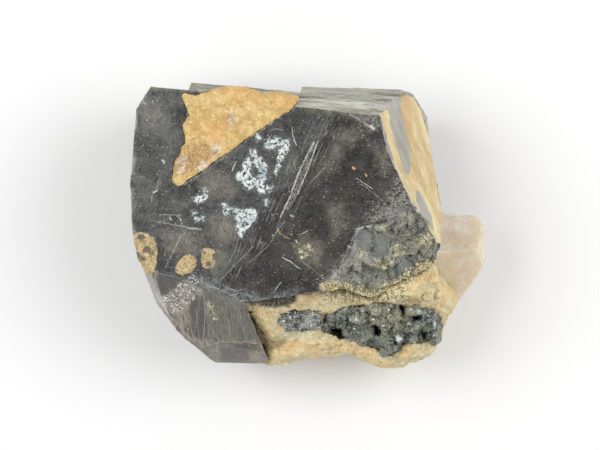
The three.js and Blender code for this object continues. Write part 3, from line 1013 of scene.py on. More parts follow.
def make_mottle(graph: Graph, given: Given) -> Socket:
    """Blends two colours by cloudy noise of two scales and a fine grit.

    Args:
        graph: The group's graph.
        given: The group's inputs.

    Returns:
        The colour.
    """
    fine_scale = 6.3
    fine_share = 0.3
    grit_scale = 4.2
    wide = graph.noise(given["Place"], given["Scale"], detail=5.0, roughness=0.6)
    fine = graph.noise(given["Place"], graph.times(given["Scale"], fine_scale), detail=3.0, roughness=0.6)
    grit = graph.math("SUBTRACT", graph.noise(given["Place"], grit_scale, detail=2.0, roughness=0.75), 0.5)
    both = graph.math("ADD", wide, graph.times(graph.math("SUBTRACT", fine, 0.5), fine_share))
    both = graph.math("MULTIPLY_ADD", grit, given["Grit"], both)
    low = graph.math("SUBTRACT", 0.5, given["Spread"])
    high = graph.math("ADD", 0.5, given["Spread"])
    return graph.blend(graph.span(both, low, high), given["Dark"], given["Light"])


def make_stain(graph: Graph, given: Given) -> Socket:
    """Turns the depth inside an outline into a stain with a ragged edge and holes.

    Args:
        graph: The group's graph.
        given: The group's inputs.

    Returns:
        The stain's mask.
    """
    pit_scale = 1.9
    pit_rim = 0.03
    whole_level = 0.8
    level_drop = -0.32
    ragged = graph.math("SUBTRACT", graph.noise(given["Place"], given["Scale"], roughness=0.65), 0.5)
    depth = graph.math("MULTIPLY_ADD", ragged, given["Ragged"], given["Depth"])
    body = graph.span(depth, graph.times(given["Soft"], -1.0), given["Soft"])
    pits = graph.noise(given["Place"], graph.times(given["Scale"], pit_scale), detail=3.0, roughness=0.6)
    level = graph.math("MULTIPLY_ADD", given["Holes"], level_drop, whole_level)
    low = graph.math("SUBTRACT", level, pit_rim)
    high = graph.math("ADD", level, pit_rim)
    return graph.times(body, graph.span(pits, low, high, 1.0, 0.0))


def make_specks(graph: Graph, given: Given) -> Socket:
    """Scatters specks, one in each of a share of cells.

    Args:
        graph: The group's graph.
        given: The group's inputs.

    Returns:
        The specks' mask.
    """
    least_size = 0.3
    core = 0.5
    cells = graph.cells(given["Place"], given["Scale"])
    drawn = graph.add("ShaderNodeSeparateColor", {0: cells.outputs["Color"]})
    size = graph.times(given["Size"], graph.math("ADD", drawn.outputs[0], least_size))
    near = graph.span(cells.outputs["Distance"], graph.times(size, core), size, 1.0, 0.0)
    return graph.times(near, graph.math("LESS_THAN", drawn.outputs[1], given["Share"]))


def make_stroke(graph: Graph, given: Given) -> Socket:
    """Marks a straight scratch between two points seen from above.

    Args:
        graph: The group's graph.
        given: The group's inputs.

    Returns:
        The scratch's mask.
    """
    flat = Vector((1.0, 1.0, 0.0))
    core = 0.3
    fringe = 1.6
    start = given["Start"]
    run = graph.vector("SUBTRACT", given["End"], start).outputs[0]
    out = graph.vector("SUBTRACT", given["Place"], start).outputs[0]
    out = graph.vector("MULTIPLY", out, flat).outputs[0]
    shadow = graph.vector("DOT_PRODUCT", out, run).outputs["Value"]
    square = graph.vector("DOT_PRODUCT", run, run).outputs["Value"]
    along = graph.math("MINIMUM", graph.most(graph.math("DIVIDE", shadow, square), 0.0), 1.0)
    foot = graph.add("ShaderNodeVectorMath", {0: run, "Scale": along}, operation="SCALE").outputs[0]
    gap = graph.vector("DISTANCE", out, foot).outputs["Value"]
    half = graph.times(given["Width"], 0.5)
    return graph.span(gap, graph.times(half, core), graph.times(half, fringe), 1.0, 0.0)


def make_wear(graph: Graph, given: Given) -> Socket:
    """Breaks the mark along the ridges up into worn stretches.

    Args:
        graph: The group's graph.
        given: The group's inputs.

    Returns:
        The wear's mask.
    """
    base = 0.35
    rough = graph.noise(given["Place"], given["Scale"], roughness=0.65)
    level = graph.times(given["Edge"], graph.math("ADD", rough, base))
    return graph.span(level, graph.math("SUBTRACT", 1.0, given["Amount"]), 1.0)


MOTTLE = EffectGroup("Mottle", ("Place", "Scale", "Spread", "Grit", "Dark", "Light"), "Colour", make_mottle)
STAIN = EffectGroup("Stain", ("Place", "Depth", "Ragged", "Soft", "Scale", "Holes"), "Mask", make_stain)
SPECKS = EffectGroup("Specks", ("Place", "Scale", "Size", "Share"), "Mask", make_specks)
STROKE = EffectGroup("Stroke", ("Place", "Start", "End", "Width"), "Mask", make_stroke)
WEAR = EffectGroup("Edge wear", ("Place", "Edge", "Scale", "Amount"), "Mask", make_wear)


def new_material(name: str) -> tuple[bpy.types.Material, Graph, bpy.types.Node]:
    """Makes a material that holds only its shader.

    Args:
        name: The material's name.

    Returns:
        The material, its graph and its shader.
    """
    material = bpy.data.materials.new(name)
    material.use_nodes = True
    material.node_tree.nodes.clear()
    graph = Graph(material.node_tree)
    shader = graph.add("ShaderNodeBsdfPrincipled")
    graph.add("ShaderNodeOutputMaterial", {"Surface": shader.outputs[0]})
    return material, graph, shader


def add_bump(graph: Graph, shader: bpy.types.Node, height: Value, depth: float) -> None:
    """Roughens a surface.

    Args:
        graph: The material's graph.
        shader: The shader.
        height: The height, from 0 to 1.
        depth: What a height of 1 stands for.
    """
    bump = graph.add("ShaderNodeBump", {"Height": height, "Distance": depth * MM, "Strength": 1.0})
    graph.feed(shader.inputs["Normal"], bump.outputs[0])


# Finishes


@dataclass(frozen=True)
class Layer:
    """A coat of colour inside one zone's outlines.

    Attributes:
        zone: The zone.
        dark: The coat's darkest colour.
        light: Its palest colour.
        strength: How much of the stone it hides, from 0 to 1.
        grow: How far it goes beyond the outline.
        turn: The angle from its streaks to the y axis, in degrees.
        stretch: What its clouds are squeezed by across and along the streaks.
        ragged: How far its edge wanders.
        soft: How wide its edge fades.
        scale: Bumps of its edge to a millimetre.
        holes: How much of it is missing, from 0 to 1.
        clouds: Clouds of its colour to a millimetre.
        grit: How grainy its colour is.
        matt: How much of the polish under it is lost, from 0 to 1.
    """

    zone: Zone
    dark: Colour
    light: Colour
    strength: float = 1.0
    grow: float = 0.0
    turn: float = 0.0
    stretch: Triple = (1.0, 1.0, 1.0)
    ragged: float = 0.6
    soft: float = 0.1
    scale: float = 1.2
    holes: float = 0.0
    clouds: float = 0.9
    grit: float = 0.6
    matt: float = 1.0

    def paint(self, graph: Graph, place: Value, colour: Value, matt: Value) -> tuple[Value, Value]:
        """Lays the coat over a colour.

        Args:
            graph: The material's graph.
            place: The place on the piece.
            colour: The colour under the coat.
            matt: How matt the surface is under the coat.

        Returns:
            The new colour and the new mattness.
        """
        depth = graph.math("ADD", graph.attribute(self.zone), self.grow)
        mask = STAIN.place_in(
            graph, place=place, depth=depth, ragged=self.ragged, soft=self.soft, scale=self.scale,
            holes=self.holes,
        )
        coat = MOTTLE.place_in(
            graph, place=graph.streaks(place, self.turn, self.stretch), scale=self.clouds, spread=0.22,
            grit=self.grit, dark=self.dark, light=self.light,
        )
        if self.matt > 0.0:
            matt = graph.most(matt, graph.times(mask, self.matt))
        return graph.blend(graph.times(mask, self.strength), colour, coat), matt


# What the clouds of a coat are squeezed by, so that they run in streaks or bands, and their turn

STREAKS = (2.2, 0.2, 0.2)
FILM_STREAKS = (1.6, 0.3, 0.3)
FILM_TURN = -20.0
BANDS = (0.12, 0.9, 0.9)

# The crystal's coats, from the lowest to the topmost

STONE_LAYERS = (
    Layer(Zone.GROWTH, (0.012, 0.008, 0.004), (0.270, 0.222, 0.160), turn=-8.0, stretch=STREAKS, ragged=0.2,
          soft=0.2, grit=0.9, matt=0.0),
    Layer(Zone.GREEN, (0.008, 0.009, 0.005), (0.135, 0.130, 0.084), 0.85, turn=-5.0, stretch=STREAKS,
          ragged=0.8, soft=0.5, clouds=0.7, grit=1.3, matt=0.1),
    Layer(Zone.RIM, (0.150, 0.150, 0.140), (0.420, 0.415, 0.380), 0.7, ragged=0.8, soft=0.4, clouds=0.3,
          matt=0.0),
    Layer(Zone.TIP, (0.030, 0.022, 0.013), (0.210, 0.168, 0.108), stretch=(0.7, 0.3, 1.0), ragged=0.1,
          soft=0.1, clouds=0.6, grit=0.5, matt=0.0),
    Layer(Zone.PURPLE, (0.010, 0.005, 0.004), (0.044, 0.025, 0.020), 0.9, 0.1, ragged=0.8, soft=0.3,
          matt=0.0),
    # Partly painted reflection: the back slope is painted pale gray for its sheen, streaked along its growth
    # bands; the dark band over its top is a dimmer painted reflection.
    Layer(Zone.SLOPE, (0.070, 0.070, 0.048), (0.520, 0.515, 0.430), stretch=BANDS, ragged=0.05, soft=0.07,
          grit=0.5, matt=0.2),
    Layer(Zone.DARK_SLOPE, (0.050, 0.050, 0.032), (0.270, 0.265, 0.190), 0.85, stretch=BANDS, ragged=1.2,
          soft=0.5, grit=0.5, matt=0.2),
    Layer(Zone.BROWN, (0.075, 0.065, 0.050), (0.215, 0.190, 0.150), 0.65, ragged=2.0, soft=1.0, grit=1.4,
          matt=0.2),
    Layer(Zone.OLIVE, (0.110, 0.105, 0.060), (0.260, 0.250, 0.150), 0.5, ragged=2.2, soft=1.2, holes=0.5,
          matt=0.4),
    Layer(Zone.HAZE, (0.080, 0.092, 0.100), (0.270, 0.290, 0.300), 0.55, ragged=2.0, soft=0.8, holes=0.7,
          grit=1.4, matt=0.3),
    Layer(Zone.BREAK, (0.066, 0.070, 0.056), (0.320, 0.315, 0.252), ragged=1.4, soft=0.2, clouds=0.8,
          grit=1.6, matt=0.7),
    Layer(Zone.SMOOTH, (0.085, 0.098, 0.087), (0.165, 0.180, 0.160), 0.95, ragged=0.2, soft=0.06, grit=0.5,
          matt=0.5),
    Layer(Zone.CLAY, (0.300, 0.260, 0.130), (0.740, 0.680, 0.430), 0.9, ragged=1.8, soft=0.2, scale=1.8,
          holes=0.8, grit=1.2),
    # Chips: partly their own paler colour, partly painted sparkle in pale specks.
    Layer(Zone.SPARKLE, (0.050, 0.047, 0.038), (0.300, 0.280, 0.235), 0.65, ragged=2.4, soft=0.9, scale=1.8,
          holes=0.85, grit=1.8, matt=0.6),
    Layer(Zone.FILM, (0.460, 0.320, 0.120), (0.760, 0.640, 0.360), turn=FILM_TURN, stretch=FILM_STREAKS,
          ragged=0.5, soft=0.1, clouds=0.5, grit=0.25),
    Layer(Zone.RUST, (0.480, 0.290, 0.110), (0.620, 0.420, 0.190), 0.7, ragged=0.8, soft=0.4, clouds=0.6,
          grit=0.3),
    # Painted reflection: the clean crystal faces are painted mid-gray, as they mirror the pale room.
    Layer(Zone.WINDOW, (0.270, 0.260, 0.215), (0.370, 0.360, 0.310), turn=FILM_TURN, stretch=FILM_STREAKS,
          ragged=0.4, soft=0.12, grit=0.3, matt=0.4),
    Layer(Zone.OCHRE, (0.250, 0.165, 0.055), (0.590, 0.430, 0.200), ragged=0.9, soft=0.1, holes=0.5,
          clouds=1.4, grit=1.0),
    Layer(Zone.INCLUSION, (0.006, 0.006, 0.004), (0.080, 0.070, 0.035), 0.92, 0.16, ragged=0.7, soft=0.1,
          scale=1.8, matt=0.3),
    Layer(Zone.WHITE, (0.050, 0.068, 0.082), (0.200, 0.250, 0.275), 0.65, 0.15, ragged=1.2, soft=0.3,
          scale=1.5, holes=0.7, grit=1.6, matt=0.5),
    Layer(Zone.WHITE, (0.260, 0.350, 0.390), (0.780, 0.810, 0.730), 0.92, 0.05, ragged=0.8, soft=0.07,
          scale=1.5, holes=0.84, clouds=0.6, grit=1.3),
    # Painted highlights: near-white specks for the sparkle on the lower growth.
    Layer(Zone.PALE, (0.180, 0.160, 0.135), (0.850, 0.830, 0.780), 0.92, 0.15, ragged=1.6, soft=0.25,
          scale=2.2, holes=0.98, grit=2.0, matt=0.5),
    Layer(Zone.LENS, (0.220, 0.220, 0.200), (0.400, 0.400, 0.370), 0.45, ragged=0.1, soft=0.1, scale=2.8,
          holes=0.95, matt=0.3),
)


@dataclass(frozen=True)
class ScheeliteFinish:
    """Smoky brown-black crystal with stains, scratches, a clay film and a rough break, and with painted
    reflections, highlights and sparkle on parts of it.

    Attributes:
        ior: The index of refraction.
        left_dark: The darkest colour left of the crease.
        left_light: The palest colour there.
        right_dark: The darkest colour right of the crease.
        right_light: The palest colour there.
        side_dark: The darkest colour of the sides.
        side_light: The palest colour there.
        pale: The colour of the scratches, the hair lines and the painted highlights among the scratches.
        dust: The colour of dust and worn ridges.
        grains: The colour of the clay grains on the dusty stretches.
        fibre: The colour of the orange fibres.
        crack: The colour of the cracks.
        hair_turn: The angle from the hair lines to the y axis, in degrees.
        hair_stretch: What the hair lines are squeezed by across and along them.
        shake: How far the scratches wander across and along the picture.
        hair_share: How strongly the hair lines show, from 0 to 1.
        faint_share: How strongly the faint scratches and painted highlights show.
        bright_share: How strongly the bright scratches and painted glints show.
        dust_share: How strongly the dust shows.
        wear_share: How strongly the worn ridges show.
        grain_share: How strongly the clay grains show.
        matt_roughness: The roughness where the polish is lost.
        bump_scale: Bumps of the break's fine grain to a millimetre.
        bump_depth: Their depth.
        shaking: Bumps of the scratches' wandering to a millimetre.
        uneven: How the scratches' strength changes along them.
        strands: Where the hair lines are, in squeezed space.
        drifts: How thick the fine dust lies.
        smear: The roughness of the polished stone.
    """

    ior: float = 1.92
    left_dark: Colour = (0.014, 0.015, 0.015)
    left_light: Colour = (0.084, 0.086, 0.080)
    right_dark: Colour = (0.006, 0.005, 0.005)
    right_light: Colour = (0.059, 0.052, 0.043)
    side_dark: Colour = (0.045, 0.040, 0.034)
    side_light: Colour = (0.150, 0.140, 0.115)
    pale: Colour = (0.640, 0.640, 0.600)
    dust: Colour = (0.500, 0.490, 0.440)
    grains: Colour = (0.620, 0.540, 0.340)
    fibre: Colour = (0.680, 0.420, 0.140)
    crack: Colour = (0.010, 0.008, 0.007)
    hair_turn: float = 24.0
    hair_stretch: Triple = (6.5, 0.3, 1.0)
    shake: Triple = (0.3, 0.22, 0.0)
    hair_share: float = 0.6
    faint_share: float = 0.4
    bright_share: float = 0.9
    dust_share: float = 0.8
    wear_share: float = 0.24
    grain_share: float = 0.7
    matt_roughness: float = 0.75
    bump_scale: float = 2.8
    bump_depth: float = 0.14
    shaking: float = 1.3
    uneven: Cloud = Cloud(2.6, 3.0, 0.7, 0.32, 0.6, 0.2, 1.0)
    strands: Cloud = Cloud(1.0, 2.0, 0.5, 0.54, 0.68)
    drifts: Cloud = Cloud(0.45, 3.0, 0.6, 0.36, 0.62, 0.2, 0.95)
    smear: Cloud = Cloud(0.5, 5.0, 0.65, 0.3, 0.7, 0.12, 0.32)

    def strokes(self, graph: Graph, place: Value, scratches: Strokes) -> Value:
        """Marks a set of scratches, a little uneven along their length.

        Args:
            graph: The material's graph.
            place: The place on the piece.
            scratches: The scratches.

        Returns:
            The scratches' mask.
        """
        shift = graph.vector("SCALE", Vector(self.shake))
        shaken = graph.noise(place, self.shaking, detail=2.0)
        graph.feed(shift.inputs["Scale"], graph.math("SUBTRACT", shaken, 0.5))
        moved = graph.vector("ADD", place, shift.outputs[0]).outputs[0]
        mask: Value = 0.0
        for width, points in scratches:
            spots = [place_seen(point) for point in points]
            flat = [Vector((spot.x, spot.y, 0.0)) for spot in spots]
            for start, end in zip(flat, flat[1:]):
                stroke = STROKE.place_in(graph, place=moved, start=start, end=end, width=width)
                mask = graph.most(mask, stroke)
        return graph.times(mask, graph.cloud(place, self.uneven))

    def scratches_and_highlights(self, graph: Graph, place: Value) -> Socket:
        """Marks the scratches, the painted highlights among them and the hair lines that run along the
        crease, each as strongly as it shows.

        Args:
            graph: The material's graph.
            place: The place on the piece.

        Returns:
            Their mask.
        """
        lines = graph.streaks(place, self.hair_turn, self.hair_stretch)
        shown = graph.span(graph.attribute(Zone.HAIR), -1.0, 0.9, 0.05, 0.4)
        hair = graph.times(graph.cloud(lines, self.strands), shown)
        faint = graph.times(self.strokes(graph, place, FAINT_SCRATCHES_AND_HIGHLIGHTS), self.faint_share)
        bright = graph.times(self.strokes(graph, place, BRIGHT_SCRATCHES_AND_GLINTS), self.bright_share)
        return graph.most(graph.most(graph.times(hair, self.hair_share), faint), bright)

    def body_colour(self, graph: Graph, place: Value) -> Socket:
        """Colours the bare stone: cooler left of the crease, browner right of it, paler on the sides.

        Args:
            graph: The material's graph.
            place: The place on the piece.

        Returns:
            The colour.
        """
        tones = (
            (0.16, 1.2, self.left_dark, self.left_light),
            (0.23, 0.9, self.right_dark, self.right_light),
            (0.3, 0.5, self.side_dark, self.side_light),
        )
        left, right, side = [
            MOTTLE.place_in(graph, place=place, scale=scale, spread=0.24, grit=grit, dark=dark, light=light)
            for scale, grit, dark, light in tones
        ]
        colour = graph.blend(graph.span(graph.attribute(Zone.RIGHT), -0.5, 0.7), left, right)
        return graph.blend(graph.attribute(Mask.UP), side, colour)

    def dusted(self, graph: Graph, place: Value, colour: Value) -> Socket:
        """Lays dust, worn ridges and grains of clay over a colour.

        Args:
            graph: The material's graph.
            place: The place on the piece.
            colour: The colour under them.

        Returns:
            The new colour.
        """
        dust = SPECKS.place_in(graph, place=place, scale=1.3, size=0.13, share=0.35)
        fine_dust = SPECKS.place_in(graph, place=place, scale=3.4, size=0.26, share=0.5)
        wear = WEAR.place_in(graph, place=place, edge=graph.attribute(Mask.EDGE), scale=1.6, amount=0.75)
        light = graph.most(graph.times(dust, self.dust_share), graph.times(wear, self.wear_share))
        light = graph.most(light, graph.times(fine_dust, graph.cloud(place, self.drifts)))
        colour = graph.blend(light, colour, self.dust)
        grains = SPECKS.place_in(graph, place=place, scale=2.9, size=0.2, share=0.5)
        grains = graph.times(grains, graph.span(graph.attribute(Zone.DUSTY), -0.6, 1.2))
        return graph.blend(graph.times(grains, self.grain_share), colour, self.grains)

    def material(self) -> bpy.types.Material:
        """Builds the crystal's material.

        Returns:
            The material.
        """
        material, graph, shader = new_material("Smoky scheelite")
        place = graph.place()
        above = graph.attribute(Mask.UP)
        colour: Value = self.body_colour(graph, place)
        matt: Value = 0.0
        for layer in STONE_LAYERS:
            colour, matt = layer.paint(graph, place, colour, matt)
        # Pale scratches and hair lines, with painted highlights among them.
        colour = graph.blend(graph.times(self.scratches_and_highlights(graph, place), above), colour, self.pale)
        colour = self.dusted(graph, place, colour)
        for scratches, tint in ((ORANGE_FIBRES, self.fibre), (CRACKS, self.crack)):
            colour = graph.blend(graph.times(self.strokes(graph, place, scratches), above), colour, tint)
        graph.feed(shader.inputs["Base Color"], colour)

        smear = graph.cloud(place, self.smear)
        graph.feed(shader.inputs["Roughness"], graph.mix(matt, smear, self.matt_roughness))
        shader.inputs["IOR"].default_value = self.ior

        fine = graph.noise(place, self.bump_scale, detail=6.0, roughness=0.7)
        strong = graph.span(graph.attribute(Zone.BREAK), -0.1, 0.2, 0.08, 1.1)
        add_bump(graph, shader, graph.times(fine, strong), self.bump_depth)
        return material


@dataclass(frozen=True)
class GranularFinish:
    """A matt granular rock or clay.

    Attributes:
        name: The material's name.
        dark: The colour of its hollows.
        light: Its main colour.
        patch: The colour of stained patches.
        patch_share: How much of it the patches cover, from 0 to 1.
        bright: The colour of the palest grains.
        speck: The colour of dark specks.
        grain_scale: Grains to a millimetre.
        depth: The depth of the fine grain.
        layers: Coats on parts of it.
        patch_scale: Patches to a millimetre.
        patch_strength: How strongly the patches show, from 0 to 1.
        bright_strength: How strongly the palest grains show.
        speck_strength: How strongly the dark specks show.
        rough: The roughness.
        gloss: How much less rough the palest grains are.
        coarser: The dark specks' scale for each of the pale grains'.
    """

    name: str
    dark: Colour
    light: Colour
    patch: Colour
    patch_share: float
    bright: Colour
    speck: Colour
    grain_scale: float
    depth: float
    layers: tuple[Layer, ...] = ()
    patch_scale: float = 0.28
    patch_strength: float = 0.75
    bright_strength: float = 0.35
    speck_strength: float = 0.55
    rough: float = 0.85
    gloss: float = 0.35
    coarser: float = 0.8

    def material(self) -> bpy.types.Material:
        """Builds the rock's material.

        Returns:
            The material.
        """
        material, graph, shader = new_material(self.name)
        place = graph.place()
        tones = {"dark": self.dark, "light": self.light}
        colour = MOTTLE.place_in(graph, place=place, scale=0.9, spread=0.24, grit=0.8, **tones)
        more = 0.3 * self.patch_share
        patches = graph.cloud(place, Cloud(self.patch_scale, 4.0, 0.6, 0.62 - more, 0.74 - more))
        colour = graph.blend(graph.times(patches, self.patch_strength), colour, self.patch)
        coarse_scale = self.grain_scale * self.coarser
        pale = SPECKS.place_in(graph, place=place, scale=self.grain_scale, size=0.5, share=0.2)
        colour = graph.blend(graph.times(pale, self.bright_strength), colour, self.bright)
        dark = SPECKS.place_in(graph, place=place, scale=coarse_scale, size=0.5, share=0.2)
        colour = graph.blend(graph.times(dark, self.speck_strength), colour, self.speck)
        for layer in self.layers:
            colour, _ = layer.paint(graph, place, colour, 1.0)
        graph.feed(shader.inputs["Base Color"], colour)
        graph.feed(shader.inputs["Roughness"], graph.math("ADD", graph.times(pale, -self.gloss), self.rough))
        fine = graph.noise(place, self.grain_scale, detail=5.0, roughness=0.65)
        grains = graph.cells(place, coarse_scale).outputs["Distance"]
        add_bump(graph, shader, graph.math("SUBTRACT", fine, grains), self.depth)
        return material


@dataclass(frozen=True)
class GlitterFinish:
    """Dark crystalline flakes with glittering faces, whose glints are painted highlights: pale specks in the
    colour.

    Attributes:
        name: The material's name.
        dark: The darkest flakes.
        light: The palest flakes.
        stain: The colour of dusty patches.
        painted_glint: The colour of the painted glints, pale specks that stand for highlights.
        ior: The index of refraction.
        rough: The roughness of the flakes.
        painted_glint_share: How many of the small cells carry a painted glint, from 0 to 1.
        painted_glint_scale: Those cells to a millimetre.
        layers: Coats on parts of it.
        dusty: Where the dusty patches are.
        dust_strength: How strongly they show, from 0 to 1.
        dust_rough: How much rougher they are.
        flake_scale: Flakes to a millimetre.
        flake_depth: Their depth.
    """

    name: str
    dark: Colour
    light: Colour
    stain: Colour
    painted_glint: Colour
    ior: float
    rough: float
    painted_glint_share: float
    painted_glint_scale: float = 2.4
    layers: tuple[Layer, ...] = ()
    dusty: Cloud = Cloud(0.5, 4.0, 0.6, 0.52, 0.68)
    dust_strength: float = 0.5
    dust_rough: float = 0.3
    flake_scale: float = 3.0
    flake_depth: float = 0.12

    def material(self) -> bpy.types.Material:
        """Builds the flakes' material.

        Returns:
            The material.
        """
        material, graph, shader = new_material(self.name)
        place = graph.place()
        tones = {"dark": self.dark, "light": self.light}
        colour = MOTTLE.place_in(graph, place=place, scale=0.7, spread=0.2, grit=0.9, **tones)
        dusty = graph.cloud(place, self.dusty)
        colour = graph.blend(graph.times(dusty, self.dust_strength), colour, self.stain)
        for layer in self.layers:
            colour, _ = layer.paint(graph, place, colour, 1.0)
        # Painted highlights: pale specks in a share of the cells stand for glints of light.
        sizes = {"scale": self.painted_glint_scale, "size": 0.5, "share": self.painted_glint_share}
        painted_glints = SPECKS.place_in(graph, place=place, **sizes)
        colour = graph.blend(painted_glints, colour, self.painted_glint)
        graph.feed(shader.inputs["Base Color"], colour)
        rough = graph.math("MULTIPLY_ADD", dusty, self.dust_rough, self.rough)
        graph.feed(shader.inputs["Roughness"], rough)
        shader.inputs["IOR"].default_value = self.ior
        add_bump(graph, shader, graph.cells(place, self.flake_scale).outputs["Distance"], self.flake_depth)
        return material


@dataclass(frozen=True)
class QuartzFinish:
    """Cloudy peach crystal that lets light through.

    Attributes:
        clear: The colour of its clearer stretches.
        cloudy: The colour of its cloudier stretches.
        stain: The colour of stained seams.
        worn: The colour of worn ridges.
        transmission: How much light goes straight through, from 0 to 1.
        glow: How much light spreads inside it, from 0 to 1.
        glow_tint: How far each colour of that light goes, compared with red.
        glow_reach: How far red light goes inside it.
        ior: The index of refraction.
        seams: Where the stained seams are.
        seam_strength: How strongly they show, from 0 to 1.
        wear_strength: How strongly the worn ridges show.
        smear: The roughness.
        bump_scale: Bumps of its fine relief to a millimetre.
        bump_depth: Their depth.
    """

    clear: Colour = (0.93, 0.86, 0.74)
    cloudy: Colour = (0.82, 0.67, 0.47)
    stain: Colour = (0.62, 0.42, 0.20)
    worn: Colour = (0.93, 0.88, 0.78)
    transmission: float = 0.25
    glow: float = 0.5
    glow_tint: Triple = (1.0, 0.7, 0.45)
    glow_reach: float = 2.0
    ior: float = 1.54
    seams: Cloud = Cloud(0.6, 5.0, 0.65, 0.6, 0.75)
    seam_strength: float = 0.5
    wear_strength: float = 0.1
    smear: Cloud = Cloud(0.8, 5.0, 0.55, 0.3, 0.7, 0.12, 0.4)
    bump_scale: float = 0.9
    bump_depth: float = 0.1

    def material(self) -> bpy.types.Material:
        """Builds the quartz's material.

        Returns:
            The material.
        """
        material, graph, shader = new_material("Peach quartz")
        place = graph.place()
        tones = {"dark": self.cloudy, "light": self.clear}
        colour = MOTTLE.place_in(graph, place=place, scale=0.25, spread=0.2, grit=0.2, **tones)
        seams = graph.times(graph.cloud(place, self.seams), self.seam_strength)
        colour = graph.blend(seams, colour, self.stain)
        wear = WEAR.place_in(graph, place=place, edge=graph.attribute(Mask.EDGE), scale=1.2, amount=0.8)
        colour = graph.blend(graph.times(wear, self.wear_strength), colour, self.worn)
        graph.feed(shader.inputs["Base Color"], colour)
        graph.feed(shader.inputs["Roughness"], graph.cloud(place, self.smear))
        shader.inputs["IOR"].default_value = self.ior
        shader.inputs["Transmission Weight"].default_value = self.transmission
        shader.inputs["Subsurface Weight"].default_value = self.glow
        shader.inputs["Subsurface Radius"].default_value = self.glow_tint
        shader.inputs["Subsurface Scale"].default_value = self.glow_reach * MM
        fine = graph.noise(place, self.bump_scale, detail=6.0, roughness=0.6)
        add_bump(graph, shader, fine, self.bump_depth)
        return material


@dataclass(frozen=True)
class FloorFinish:
    """Plain pale card.

    Attributes:
        colour: Its colour.
        rough: Its roughness.
        sheen: How much it shines.
    """

    colour: Colour = (0.88, 0.88, 0.88)
    rough: float = 0.9
    sheen: float = 0.1

    def material(self) -> bpy.types.Material:
        """Builds the floor's material.

        Returns:
            The material.
        """
        material, graph, shader = new_material("Pale card")
        graph.feed(shader.inputs["Base Color"], self.colour)
        shader.inputs["Roughness"].default_value = self.rough
        shader.inputs["Specular IOR Level"].default_value = self.sheen
        return material


Finish = ScheeliteFinish | GranularFinish | GlitterFinish | QuartzFinish

# Pieces of the specimen


@dataclass
class StonePiece:
    """A piece of the specimen that stands for one CAD node.

    Attributes:
        node: The CAD node that it replaces.
        name: The piece's name.
        slot: The record's material slot, which is not used.
        cell: The width of the cells that its faces are cut into.
        cuts: How often each cell's edges are cut again.
        sharp: Edges that turn more than this stay sharp, in degrees.
        zones: The zones that its finish reads.
        worn: Whether its finish has worn ridges.
    """

    node: str
    name: str
    slot: str
    cell: float
    cuts: int
    sharp: float
    zones: tuple[Zone, ...] = ()
    worn: bool = False

    def build(self) -> bpy.types.Object:
        """Makes the piece's mesh and puts it in the place of its CAD node.

        Returns:
            The piece.
        """
        work = self.cut()
        self.shape(work)
        ridges = ridge_vertices(work) if self.worn else set()
        edges = [float(vertex in ridges) for vertex in work.verts]
        piece = to_object(work, self.name, self.sharp)
        if self.worn:
            set_attribute(piece, Mask.EDGE.value, edges)
        self.mark(piece)
        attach(piece, BODY)
        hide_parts(self.node)
        piece.data.calc_loop_triangles()
        LOG.info("%s: %d triangles", self.name, len(piece.data.loop_triangles))
        return piece

    def cut(self) -> WorkMesh:
        """Cuts the CAD node's mesh into small cells, with its flat faces and ridges kept.

        Returns:
            The mesh.
        """
        work = welded_copy(self.node)
        slice_mesh(work, self.cell)
        refine(work, self.cuts)
        return work

    def shape(self, work: WorkMesh) -> None:
        """Gives the mesh its relief."""

    def mark(self, piece: bpy.types.Object) -> None:
        """Stores how deep each vertex lies inside each zone that the finish reads.

        Args:
            piece: The piece.
        """
        points = [VIEW.pixel_of(vertex.co) for vertex in piece.data.vertices]
        for zone in self.zones:
            set_attribute(piece, zone.value, [zone_depth(zone, point) for point in points])

    def dress(self, piece: bpy.types.Object, finish: Finish) -> None:
        """Gives the piece its finish."""
        piece.data.materials.append(finish.material())


